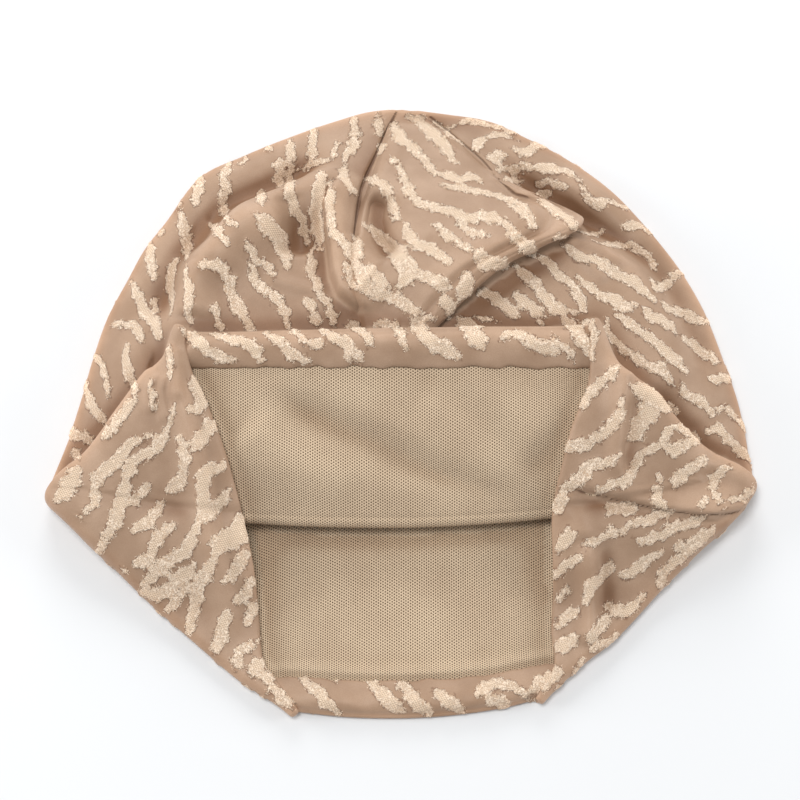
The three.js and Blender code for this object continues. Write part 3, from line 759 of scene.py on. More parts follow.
def side_group(side, t, q):
    """Points of one side: upper fold, triangle and lower fold, or the nose where the tip closes."""
    upper, lower = corner_at(f"upper_{side}", t), corner_at(f"lower_{side}", t)
    out_upper, out_lower = fold_out(f"upper_{side}"), fold_out(f"lower_{side}")
    flap_height = float(flap.at(*upper))
    k = np.clip((q - ROLL) / SPAN, 0, 1)
    plan = upper + (lower - upper) * k[:, None]
    plan[:, 0] += track(RIM_LINE[side], "aside", k) * t * t
    height = triangle.at(plan[:, 0], plan[:, 1])
    for corner, out, low, k in (
        (upper, out_upper, flap_height, q / ROLL),
        (lower, out_lower, FLOOR, (TURN_ROUND - q) / ROLL),
    ):
        turn = math.pi * np.clip(k, 0, 1)
        high = float(triangle.at(*corner))
        reach = min(FOLD_REACH, (high - low) / 2) * np.sin(turn)
        plan = np.where((k < 1)[:, None], corner + out * reach[:, None], plan)
        height = np.where(k < 1, lerp(low, high, (1 - np.cos(turn)) / 2), height)
    angle = math.pi * q / TURN_ROUND
    k, swell = (1 - np.cos(angle)) / 2, np.sin(angle)
    nose = np.array(TIP[side]) - (upper + lower) / 2
    closed = lerp(upper, lower, k[:, None]) + nose * swell[:, None]
    turn = math.pi / 2 * min(1.0, t / NOSE_DEPTH)
    plan = lerp(closed, plan, 1 - math.cos(turn))
    return np.column_stack([plan, lerp(lerp(flap_height, FLOOR, k), height, math.sin(turn))])


print("tips at", TIP, "rim corners", {name: place["rim"] for name, place in CORNER.items()})

# %% [markdown]
# A whole loop joins the two sides with the layer that is folded back and the one that lies on the table.
# Between the crown's last loop and the band's first one, a few rows go round the bend at the crease.

# %% Band loops
TIP_PART = 0.2  # part of the band's depth with closer rows, because its tips close there


def rim_side(a, b, k, bow, direction):
    return a + (b - a) * k[:, None] + np.array(direction) * bow * arch(k)[:, None]


def band_loop(t, k_top, q, k_bottom):
    spots = {name: corner_at(name, t) for name in CORNER}
    bow = lerp(CREASE_SAG, RIM_BOW["top"], float(smooth(t / CREASE_FADE)))
    top = rim_side(spots["upper_left"], spots["upper_right"], k_top, bow, (0, -1))
    bow = lerp(-CREASE_SAG, RIM_BOW["bottom"], t)
    bottom = rim_side(spots["lower_right"], spots["lower_left"], k_bottom, bow, (0, 1))
    return np.concatenate(
        [
            np.column_stack([top, flap.at(top[:, 0], top[:, 1])]),
            side_group("right", t, q),
            np.column_stack([bottom, np.full(len(bottom), FLOOR)]),
            side_group("left", t, q)[::-1],
        ]
    )


def crease_rows(before, after, k_top, count):
    """Rows of the bend between the crown and the band."""
    rows, n = [], len(k_top)
    for r in np.arange(1, count + 1) / (count + 1):
        k = np.full(len(before), r)
        k[:n] = (1 - math.cos(math.pi * r)) / 2
        row = lerp(before, after, k[:, None])
        ends = np.minimum(1, np.sqrt(arch(k_top)) * CREASE_ENDS)
        row[:n, 1] -= CREASE_RADIUS * math.sin(math.pi * r) * ends
        rows.append(row)
    return rows


def band_rows(k_top, q, k_bottom, depths, crease_count):
    """Middle surface of the band, from the last crown loop on."""
    first = crown_loop(1.0, k_top, q / TURN_ROUND, k_bottom)
    rows = [band_loop(t, k_top, q, k_bottom) for t in depths]
    return np.array([first, *crease_rows(first, rows[0], k_top, crease_count), *rows])


def depth_steps(near_tips, beyond, last):
    first = np.linspace(0, TIP_PART, near_tips + 1)[:-1]
    return np.concatenate([first, np.linspace(TIP_PART, last, beyond)])


def side_steps(in_fold, on_triangle):
    """Values of q round one side."""
    fold = np.arange(1, in_fold + 1) / (in_fold + 1) * ROLL
    return np.concatenate([fold, ROLL + np.linspace(0, SPAN, on_triangle), ROLL + SPAN + fold])


print("closer rows in the first", TIP_PART * BAND_DEPTH, "mm of the band")

# %% [markdown]
# A piece of cloth starts as a flat grid. The operator makes its faces and an even UV map, then each
# vertex is moved to its place on the loops. Where the grid closes on itself the doubles are merged, and
# the faces are turned outwards. The UV map keeps millimetres of cloth, so a weave keeps its size.
#
# The real outline isn't smooth: it has bays and bulges a few millimetres deep. Each row of `OUTLINE` is a
# direction from the middle of the cap, in degrees, with how far the cloth lies outside the plain loops.

# %% Cloth from a grid
MERGE = 1e-6  # metres


def loop_normals(points, passes):
    """Outward directions of a grid of loops [row, column] that close on themselves."""
    east, west = np.roll(points, -1, axis=1), np.roll(points, 1, axis=1)
    north, south = np.roll(points, 1, axis=0), np.roll(points, -1, axis=0)
    north[0], south[-1] = points[0], points[-1]
    normals = np.cross(east - west, north - south)
    normals /= np.maximum(1e-9, np.linalg.norm(normals, axis=2, keepdims=True))
    for _ in range(passes):
        total = normals * 2 + np.roll(normals, 1, axis=1) + np.roll(normals, -1, axis=1)
        total[1:] += normals[:-1]
        total[:-1] += normals[1:]
        normals = total / np.maximum(1e-9, np.linalg.norm(total, axis=2, keepdims=True))
    return normals


def outward_of(points, passes, below=True):
    """Outward directions, straight down for what lies flat on the table."""
    out = loop_normals(points, passes)
    out[below & (points[:, :, 2] <= FLOOR + 1e-6)] = (0, 0, -1)
    return out


def cloth_lengths(points):
    """Millimetres across, and of cloth up from the last row, for the UV map."""
    down = np.linalg.norm(np.diff(points, axis=0), axis=2)
    down = np.vstack([np.zeros(points.shape[1]), np.cumsum(down, axis=0)])
    return np.stack([points[:, :, 0], down[-1] - down], axis=-1)


OUTLINE = table(
    "at outward",
    [
        (-181, -0.4), (-169, -0.7), (-164, -0.4), (-157, 2), (-146, 3), (-135, 2.8), (-124, 2.6),
        (-113, -0.5), (-100, 0), (-70, 0), (-60, -1.4), (-52, -0.4), (-43, 2), (-32, 1.5), (-22, 2),
        (-14, 1.3), (-9, -0.7), (-4, -0.6), (2, 1.4), (7, 3), (12, 3.4), (18, 3.5), (23, 3.3),
        (30, 2.5), (37.5, 1.4), (44, 0.6), (50, 0.2), (60, -1), (68, -1.4), (76, 0.4), (83, 0.5),
        (92, 1.4), (101, -1), (111, -1.8), (119, -0.6), (127, 2.6), (136, 2.2), (143, 3.4),
        (150, 2.8), (158, 3), (166, 1.8), (172, 0.6), (181, -0.3),
    ],
)
OUTLINE_MIDDLE, OUTLINE_START, OUTLINE_FADE = np.array([0.0, -14.0]), 60.0, 45.0


def nudged(points):
    """The points with the small bays and bulges of the cap's outline."""
    away = points[..., :2] - OUTLINE_MIDDLE
    reach = np.hypot(away[..., 0], away[..., 1])
    outward = track(OUTLINE, "outward", np.degrees(np.arctan2(away[..., 1], away[..., 0])))
    step = outward * smooth((reach - OUTLINE_START) / OUTLINE_FADE) / np.maximum(reach, 1)
    moved = np.array(points, float)
    moved[..., :2] += away * step[..., None]
    return moved


def grid_cloth(name, points, faces_up_at, closed=True):
    """Mesh object from a grid of points in mm; its faces look up near one named row and column."""
    points = nudged(points)
    top = Vector(points[faces_up_at] * MM)
    if closed:
        points = np.concatenate([points, points[:, :1]], axis=1)
    rows, columns = points.shape[:2]

    def taken(grid, flat):
        """The grid's value, in metres, for each place on the unit square."""
        column = np.rint(flat[:, 0] * (columns - 1)).astype(int)
        row = np.rint(flat[:, 1] * (rows - 1)).astype(int)
        return (grid[row, column] * MM).astype(np.float32).ravel()

    bm = bmesh.new()
    bm.loops.layers.uv.new("cloth")
    bmesh.ops.create_grid(bm, x_segments=columns - 1, y_segments=rows - 1, size=0.5, calc_uvs=True)
    mesh = mesh_from(bm, name)
    mesh.vertices.foreach_set("co", taken(points, read(mesh.vertices, "co", 3) + 0.5))
    layer = mesh.uv_layers["cloth"].data
    layer.foreach_set("uv", taken(cloth_lengths(points), read(layer, "uv", 2)))
    bm = bmesh.new()
    bm.from_mesh(mesh)
    bmesh.ops.remove_doubles(bm, verts=bm.verts, dist=MERGE)
    bmesh.ops.recalc_face_normals(bm, faces=bm.faces)
    if min(bm.faces, key=lambda face: (face.calc_center_median() - top).length_squared).normal.z < 0:
        bmesh.ops.reverse_faces(bm, faces=bm.faces)
    bm.to_mesh(mesh)
    bm.free()
    mesh.shade_smooth()
    print(name, len(mesh.polygons), "faces")
    return into_scene(name, mesh)


print("the outline goes in and out by", OUTLINE["outward"].min(), "to", OUTLINE["outward"].max(), "mm")

# %% [markdown]
# The crown cloth is one closed bag, open only at the crease. Its top has a vertex about every
# millimetre, because the stripes are raised on it later; the side that lies on the table is coarser.

# %% Crown cloth
CROWN_ROWS, CROWN_TOP, CROWN_EDGE, CROWN_BELOW = 196, 290, 14, 60
FIRST_SECTION = 0.006  # the first one beside the crown point
k_top, k_below = np.linspace(0, 1, CROWN_TOP), np.linspace(0, 1, CROWN_BELOW)
k_edge = np.arange(1, CROWN_EDGE + 1) / (CROWN_EDGE + 1)
stations = np.linspace(FIRST_SECTION, 1, CROWN_ROWS)
crown_points = np.array([crown_loop(v, k_top, k_edge, k_below) for v in stations])
crown_points = np.concatenate([np.broadcast_to(CROWN_POINT, crown_points[:1].shape), crown_points])
crown_face = crown_points + outward_of(crown_points, 2) * CLOTH / 2
crown_face[:, :, 2] = np.maximum(crown_face[:, :, 2], LOWEST)
crown_cloth = grid_cloth("crown_cloth", crown_face, (80, 120))

# %% [markdown]
# The band goes on from the crown: the bend at the crease, the folded layers, the rolled rim and the hem,
# which is 12 mm of the outer cloth turned in over the lining. The hem is puffed, as turned cloth is, more
# near the rim than at its lower edge, and that edge is a little uneven.

# %% Band cloth
BAND_TOP, BAND_FOLD, BAND_SIDE, BAND_BELOW, BAND_CREASE = 190, 7, 110, 120, 12
RIM_RADIUS, RIM_STEPS, RIM_BACK = 1.4, 9, 0.8
HEM_STEPS, HEM_CLEAR, HEM_PUFF, HEM_LIP, HEM_PEAK = 18, 0.2, 3.2, 0.5, 0.62
HEM_START = 1 - HEM_WIDTH / BAND_DEPTH
HEM_CORNERS = 6  # how quickly the puff comes in beside the rim's two corners
k_flap, k_low = np.linspace(0, 1, BAND_TOP), np.linspace(0, 1, BAND_BELOW)
q_side = side_steps(BAND_FOLD, BAND_SIDE)
depths = depth_steps(25, 63, 1)
middle = band_rows(k_flap, q_side, k_low, depths, BAND_CREASE)
outward = outward_of(middle, 3, np.arange(middle.shape[1]) >= BAND_TOP + len(q_side))
face = middle + outward * CLOTH / 2

last, beyond = middle[-1], middle[-1] - middle[-2]
beyond /= np.linalg.norm(beyond, axis=1, keepdims=True)
roll = [
    last + outward[-1] * (-RIM_BACK + RIM_RADIUS * math.cos(a)) + beyond * RIM_RADIUS * math.sin(a)
    for a in np.linspace(0, math.pi, RIM_STEPS)[1:-1]
]
full = np.ones(middle.shape[1])
full[:BAND_TOP] = smooth(arch(k_flap) * HEM_CORNERS)
full += waves(last[:, 0], last[:, 1], seed=31, length=17, amount=0.12)
hem = []
for u in np.linspace(0, 1, HEM_STEPS):
    depth = lerp(1.0, HEM_START, u)
    row = np.interp(depth, depths, np.arange(len(depths))) + len(middle) - len(depths)
    i = int(min(row, len(middle) - 2))
    here = lerp(middle[i], middle[i + 1], row - i)
    out = lerp(outward[i], outward[i + 1], row - i)
    slack = waves(here[:, 0], here[:, 1], seed=37, length=13, amount=0.3) * math.sin(math.pi * u)
    slip = waves(here[:, 0], here[:, 1], seed=43, length=9, amount=0.4) * u * u
    puff = full * HEM_PUFF * math.sin(math.pi * u**HEM_PEAK) + HEM_LIP * smooth(u) + slack
    hem.append(here - out * (HEM_INSIDE + HEM_CLEAR + puff)[:, None] + beyond * slip[:, None])
hem.append(hem[-1] + out * 0.6 - beyond * 0.5)  # the edge turns down
hem.append(hem[-1] + out * (0.5 + HEM_LIP) + beyond * 0.2)  # and under
band_face = np.concatenate([face, roll, hem])
band_face[:, :, 2] = np.maximum(band_face[:, :, 2], LOWEST)
band_cloth = grid_cloth("band_cloth", band_face, (60, BAND_TOP + 62))

# %% [markdown]
# The pleat is a draped panel between the two crown seams. Its right side hangs free as a rolled fold, a
# satin band about 8 mm wide with a shallow valley behind it. Where the panel is sewn, and along its top,
# its edge dips a little way into the crown, so that no gap shows from behind.

# %% Pleat panel
PLEAT = table(
    "at left_x left_y right_x right_y curl edge full",
    [
        (0.00, -5, 112, 17, 111, 0, 0, 0.4),
        (0.20, -10.5, 93, 30, 94, 0, 0, 3),
        (0.38, -14.5, 78, 48, 79.5, 0.15, 1.4, 5),
        (0.46, -16, 72, 62.5, 74.5, 0.7, 3.6, 5.6),
        (0.52, -16.6, 68, 66.5, 69, 1, 5.0, 6),
        (0.58, -17.2, 63.5, 65.2, 62.4, 1, 5.6, 6.2),
        (0.63, -17.7, 59.5, 60.8, 58.4, 1, 5.6, 6.5),
        (0.70, -18.5, 53, 51.6, 53.4, 1, 6, 7),
        (0.85, -18.5, 38, 32.4, 41.6, 1, 5.2, 6),
        (1.00, -14, 15, 10, 18, 0.2, 0.4, 0.6),
    ],
)
PLEAT_ACROSS, PLEAT_ROWS, PLEAT_CURL = 110, 130, 16
PLEAT_PITCH, SEAM_SINK = 2.1, 0.35  # above the crown, and down into it at the seams
TOP_BOW, PLEAT_SAG, PLEAT_TOP = 3.5, -3.0, 0.2  # the top edge bends back, the other rows hang forward
ROUNDING = 0.8  # below 1 the panel is fuller beside its seams
SATIN_HEIGHT, SATIN_WIDTH = 1.8, 4.6
VALLEY_DEPTH, VALLEY_AT, VALLEY_WIDTH = 2.2, 10.5, 3.0
FREE_FROM, FREE_SPAN = 0.24, 0.16  # where the right side comes free of its seam
SEWN_RISE, LOOSE_RISE, TOP_RISE = 3, 5, 0.06  # how soon the panel rises from a seam, and from its top
PLEAT_LEVEL = 34
PLEAT_DETAIL = [  # line in the picture, height, width left, width right
    ([(384, 186), (377, 200), (375, 216), (382, 238), (398, 262)], -6.5, 5.5, 5.0),
    ([(366, 252), (374, 280), (392, 300)], 1.4, 4, 6),
    ([(420, 246), (456, 262), (480, 268)], -1.2, 6, 6),
    ([(404, 116), (391, 150), (371, 182), (362, 214), (360, 250)], 1.0, 3, 5),
    ([(470, 190), (500, 214), (520, 236)], 0.8, 8, 8),
    ([(400, 282), (430, 268), (470, 246)], 0.8, 10, 10),
]
PLEAT_LINES = [(drawn(points, PLEAT_LEVEL), *shape) for points, *shape in PLEAT_DETAIL]


def pleat_row(b, a):
    """One row of the panel, from its left seam to the free edge and round its roll."""
    get = {name: float(track(PLEAT, name, b)) for name in PLEAT if name != "at"}
    x = lerp(get["left_x"], get["right_x"], a)
    sag = lerp(TOP_BOW, PLEAT_SAG, float(smooth(b / PLEAT_TOP)))
    y = lerp(get["left_y"], get["right_y"], a) + sag * arch(a)
    width = abs(get["right_x"] - get["left_x"])
    hump = get["full"] * arch(a) ** ROUNDING + get["edge"] * smooth((a - 0.45) / 0.4)
    inside, curled = (1 - a) * width, min(1.0, max(0.0, get["curl"]))
    satin = SATIN_HEIGHT * np.exp(-((inside / SATIN_WIDTH) ** 2))
    valley = VALLEY_DEPTH * np.exp(-(((inside - VALLEY_AT) / VALLEY_WIDTH) ** 2))
    lift = PLEAT_PITCH * crown_steep.at(x, y)
    free = float(smooth((b - FREE_FROM) / FREE_SPAN))
    lift = lerp(lerp(-SEAM_SINK, lift, free), lift, smooth((1 - a) * width / SEWN_RISE))
    lift = lerp(-SEAM_SINK, lift, smooth(a * width / SEWN_RISE))
    loose = sum(ridge(x, y, *line) for line in PLEAT_LINES) * smooth(a * width / LOOSE_RISE)
    raised = lift + hump + curled * (satin - valley) + loose
    above = lerp(-SEAM_SINK, raised, float(smooth(b / TOP_RISE)))
    row = np.column_stack([x, y, crown.at(x, y) + above])
    out = row[-1, :2] - row[-8, :2]
    out /= np.linalg.norm(out)
    radius = lerp(1.4, 3.4, curled)
    turned = []
    for angle in np.linspace(0, math.pi * lerp(0.45, 0.8, curled), PLEAT_CURL)[1:]:
        drop = min(radius * (1 - math.cos(angle)), max(0.3, get["edge"] * 0.95))
        turned.append([*(row[-1, :2] + out * radius * math.sin(angle)), row[-1, 2] - drop])
    return np.concatenate([row, turned])


shares = np.linspace(0, 1, PLEAT_ACROSS)
pleat_points = np.array([pleat_row(b, shares) for b in np.linspace(0, 1, PLEAT_ROWS)])
pleat_face = pleat_points + np.array([0, 0, CLOTH / 2])
pleat_cloth = grid_cloth("pleat_cloth", pleat_face, (60, 50), closed=False)

# %% [markdown]
# The lining is a separate bag of net inside the outer cloth. It is lofted from the same loops, set
# inwards, and it ends under the hem. Only the folded-back half and the layer on the table show, so only
# they are fine. On the table the net swells up a little as it comes out from under the fold, and again
# in a soft roll behind the front hem.

# %% Net lining
NET_INSET = CLOTH / 2 + 0.3 + NET / 2
NET_TOP, NET_FOLD, NET_SIDE, NET_BELOW, NET_CREASE = 150, 4, 18, 130, 16
NET_UNDER_HEM = 0.03  # part of the band's depth by which the net goes in under the hem
CROWN_DEPTH = 215.0  # turns the crown's stations into rough millimetres from the crease
NET_RISE, RISE_AT, RISE_WIDTH = 3.4, 4, 11  # the swell beside the fold
NET_ROLL, ROLL_AT, ROLL_WIDTH = 2.1, 0.05, 0.032  # the roll behind the hem, in parts of the band's depth
TIP_TRIM = 0.018  # metres round each fold tip without net
k_flap, k_low = np.linspace(0, 1, NET_TOP), np.linspace(0, 1, NET_BELOW)
q_side = side_steps(NET_FOLD, NET_SIDE)
net_stations = np.linspace(0.04, 0.985, 60)
net_depths = depth_steps(13, 62, HEM_START + NET_UNDER_HEM)
net_crown = np.array([crown_loop(v, k_flap, q_side / TURN_ROUND, k_low) for v in net_stations])
net_band = band_rows(k_flap, q_side, k_low, net_depths, NET_CREASE)
net_middle = np.concatenate([net_crown, net_band])
net_out = outward_of(net_middle, 2, np.arange(net_middle.shape[1]) >= NET_TOP + len(q_side))
net_points = net_middle - net_out * NET_INSET

first_band = len(net_crown) + NET_CREASE + 1
below_share = np.sin(math.pi * np.clip(k_low, 0, 1)) ** 0.4
on_table = np.concatenate([np.zeros(NET_TOP + len(q_side)), below_share, np.zeros(len(q_side))])
for i, depth in enumerate(net_depths):
    swell = NET_ROLL * math.exp(-(((depth - (HEM_START - ROLL_AT)) / ROLL_WIDTH) ** 2))
    net_points[first_band + i, :, 2] += swell * on_table
along = np.concatenate([-(1 - net_stations) * CROWN_DEPTH, np.zeros(NET_CREASE + 1), net_depths * BAND_DEPTH])
net_points[:, :, 2] += NET_RISE * np.exp(-(((along[:, None] - RISE_AT) / RISE_WIDTH) ** 2)) * on_table
net_cloth = grid_cloth("net_cloth", net_points, (first_band + 40, 75))

bm = bmesh.new()
bm.from_mesh(net_cloth.data)
tips = [Vector((*TIP[side], 0)) * MM for side in TIP]
near_tip = [v for v in bm.verts if min((v.co.xy - tip.xy).length for tip in tips) < TIP_TRIM]
bmesh.ops.delete(bm, geom=near_tip, context="VERTS")
bm.to_mesh(net_cloth.data)
bm.free()
print("net trimmed at the tips:", len(near_tip), "vertices")

# %% [markdown]
# The stripes are the traditional animal kind: long wavy patches that taper at their ends. Each one is
# drawn here as a line of picture points with its widths, the way it would be inked on a print of the
# photograph. The rows go by the parts of the cap: body, pleat, the two side folds and the two hems.

# %% Stripes on the body of the crown
LEFT_BODY = [  # widths in picture points from end to end, and the line
    ((8, 8), [(111.5, 324), (127.6, 325), (138, 330), (143, 343)]),
    ((10, 10), [(129, 345), (125, 360), (130, 375), (136.5, 393)]),
    ((7, 7), [(94, 353), (104, 370), (108, 398)]),
    ((9, 11, 10), [(85, 378), (90, 403), (105, 423)]),
    ((11, 10), [(67, 428), (78, 435), (93, 441)]),
    ((7, 6), [(74, 450), (80, 459)]),
    ((12, 10), [(156.5, 328), (159, 338)]),
    ((9, 12, 16), [(131, 281), (137, 294), (144, 310), (155, 323), (158, 337)]),
    ((9, 9), [(153.6, 297), (156.6, 314)]),
    ((12, 10, 6), [(150.5, 245), (150.5, 261), (153, 271), (154, 282)]),
    ((11, 11), [(180, 213), (184, 227), (188, 241), (187, 259)]),
    ((13, 11, 6), [(175, 259), (172, 274), (171, 290), (173, 302), (170, 317)]),
    ((9, 9), [(187, 264), (186, 276), (189, 291), (188, 307), (190, 326)]),
    ((11, 10, 9), [(201, 175), (198, 192), (195, 204)]),
    ((5, 5), [(183, 201), (176, 212)]),
    ((6, 6), [(161, 231), (161, 235)]),
    ((12, 10, 6), [(230, 164), (224, 176), (225.5, 190), (222.5, 206), (230, 221), (236, 225)]),
    ((6, 6), [(247, 157), (241, 164)]),
    ((8, 8), [(209, 224), (219, 232), (227, 245)]),
    ((10, 9), [(261, 192), (262, 204)]),
    ((10, 20, 14), [(253, 213), (265, 222), (278, 238), (285, 253), (287, 265)]),
    ((9, 9), [(247, 242), (255, 258), (267, 267), (274, 279)]),
    ((10, 10), [(251.5, 265), (256, 281), (265, 290), (276, 300), (285, 313), (288, 328)]),
    ((12, 12), [(201, 265), (219, 265), (227, 279), (233, 296), (242, 313), (253, 331)]),
    ((7, 7), [(214, 303), (218, 320), (222.5, 329)]),
    ((11, 11), [(279, 161), (281, 173), (279, 186)]),
    ((10, 10), [(290, 140), (290, 155), (291, 171)]),
    ((10, 10), [(313.5, 129), (313.5, 146), (312.5, 161)]),
    ((13, 11, 9), [(288, 173), (290, 189), (294, 207), (302, 222), (306, 245)]),
    ((14, 14), [(322, 172), (320, 189), (317, 207), (319, 230), (320, 248)]),
    ((9, 9), [(311, 251), (310, 267), (316, 282), (322, 296), (331, 310), (334, 326)]),
    ((10, 10), [(308, 300), (314, 314), (316, 326)]),
    ((7, 7), [(268, 149), (272, 149)]),
    ((10, 10), [(353, 119), (356, 132), (353, 147), (345, 160)]),
    ((7, 8), [(337.5, 144), (331, 158), (315, 164), (299, 169)]),
    ((10, 10), [(331, 182), (329, 208), (331, 229), (343, 240), (354, 251), (356, 266)]),
    ((10, 13), [(345, 167), (343, 177), (349, 186), (356, 193)]),
    ((11, 10), [(381, 146), (383, 152)]),
    ((9, 9), [(380, 113), (378, 125), (381, 136)]),
]
RIGHT_BODY = [
    ((6, 6), [(453, 127), (469, 121), (486, 125), (503, 130), (516, 134)]),
    ((11, 9, 6), [(475, 151), (482, 140), (497, 135), (512, 138), (518, 140)]),
    ((10, 10), [(514, 149), (525, 153), (534, 145), (549, 149)]),
    ((15, 14), [(492, 162), (501, 153)]),
    ((9, 11), [(497, 171), (518, 169), (540, 167), (562, 171), (579, 180), (583, 189)]),
    ((9, 9), [(536, 186), (549, 182), (566, 188)]),
    ((8, 8), [(583, 195), (591, 202), (598, 205), (608, 202), (617, 205), (626, 208)]),
    ((10, 9), [(505, 180), (521, 182)]),
    ((9, 9), [(538, 195), (549, 193)]),
    ((11, 9, 6), [(625, 226), (634, 225), (643, 228), (653, 235)]),
    ((8, 8), [(580, 232), (592, 235), (603, 232)]),
    ((8, 8, 6), [(594, 242), (608, 245), (621, 245), (634, 246), (644, 254), (652, 263), (658, 274)]),
    (
        (10, 12, 14),
        [
            *[(562, 242), (575, 255), (593, 260), (608, 269), (621, 276)],
            *[(634, 281), (643, 290), (652, 297), (657, 300)],
        ],
    ),
    ((9, 9), [(682, 273), (672, 276), (665, 284), (654, 291)]),
    ((8, 6), [(654, 290), (652, 279)]),
    ((8, 12, 16), [(578, 278), (589, 287), (602, 295), (614, 299), (621, 305), (634, 306)]),
    ((10, 10), [(540, 255), (555, 271), (568, 283), (577, 295), (582, 305), (584, 312)]),
    ((13, 13), [(516, 266), (531, 279), (543, 294), (557, 310), (577, 312)]),
    ((12, 12), [(479, 293), (494, 297), (506, 307), (516, 317)]),
    ((14, 12), [(516, 294), (525, 304), (537, 312), (543, 318)]),
    ((12, 12), [(643, 308), (651, 317), (660, 320), (671, 325), (674, 332)]),
    ((10, 10), [(662, 302), (665, 308), (675, 311), (686, 315), (697, 320), (707, 320)]),
    (
        (8, 10, 12),
        [
            *[(607, 320), (608, 331), (615, 341), (626, 350), (636, 359)],
            *[(648, 366), (659, 368), (666, 375), (674, 386)],
        ],
    ),
    (
        (10, 12, 14),
        [(615, 315), (624, 321), (635, 329), (646, 335), (655, 344), (667, 354), (678, 363), (686, 372)],
    ),
    ((8, 14, 8), [(682, 339), (693, 345), (703, 354), (711, 358), (722, 364)]),
    ((10, 10), [(710, 380), (721, 378), (731, 380)]),
    ((9, 9), [(679, 384), (687, 394), (699, 400), (711, 411), (723, 407)]),
    ((8, 8), [(726, 407), (733, 416), (741, 423), (746, 434)]),
    ((10, 10), [(707, 431), (719, 429), (729, 441), (738, 450), (749, 459)]),
    ((8, 22, 8), [(630, 386), (643, 391), (656, 399), (667, 406), (676, 412)]),
]
print(len(LEFT_BODY) + len(RIGHT_BODY), "stripes on the body")

# %% Stripes on the pleat
PLEAT_STRIPES = [
    ((11, 14, 13, 10), [(341, 243), (350, 254), (357, 266), (363, 278), (375, 287)]),
    ((9, 11, 8), [(353, 236), (357, 249), (362, 260)]),
    ((8, 11, 9), [(345, 263), (350, 278), (357, 291)]),
    ((14, 12, 7), [(393, 123), (399, 136), (412, 147), (423, 158), (432, 171), (436, 176)]),
    ((8, 16, 7), [(408, 116), (421, 123), (432, 134), (443, 145), (451, 158), (457, 163)]),
    ((7, 6), [(427, 119), (440, 125), (451, 136), (464, 145)]),
    (
        (9, 11, 14),
        [
            *[(391, 158), (401, 171), (408, 188), (419, 203), (436, 208), (453, 212)],
            *[(469, 219), (482, 216), (499, 221), (510, 229), (514, 238)],
        ],
    ),
    ((9, 9), [(460, 223), (471, 232), (486, 237)]),
    ((12, 12), [(440, 173), (458, 180), (471, 177), (479, 182)]),
    ((10, 11, 14), [(443, 184), (460, 188), (482, 193), (501, 197), (516, 203), (525, 214), (534, 227)]),
    ((14, 13), [(540, 199), (553, 208), (568, 219), (575, 229)]),
    ((11, 11), [(366, 178), (378, 182), (386, 188), (391, 203), (397, 219)]),
    ((12, 17, 22), [(365, 225), (378, 236), (391, 247), (404, 262), (408, 275), (401, 284)]),
    ((12, 12), [(406, 225), (414, 242), (427, 247), (440, 255), (448, 263)]),
    ((9, 9), [(436, 225), (449, 236), (464, 247), (471, 252)]),
    ((11, 13, 16), [(410, 271), (423, 277), (436, 281), (451, 288)]),
    ((10, 12, 14), [(354, 286), (371, 292), (388, 297), (401, 301), (410, 310), (419, 312)]),
    ((14, 13), [(367, 268), (378, 279), (384, 290)]),
    ((15, 15), [(477, 253), (488, 262), (505, 266)]),
    ((12, 12), [(510, 234), (525, 245), (534, 255)]),
    ((16, 16), [(466.5, 279), (464, 295)]),
    ((12, 12), [(443, 298), (452, 312)]),
    ((6, 6), [(555, 238), (570, 236)]),
]
print(len(PLEAT_STRIPES), "stripes on the pleat")

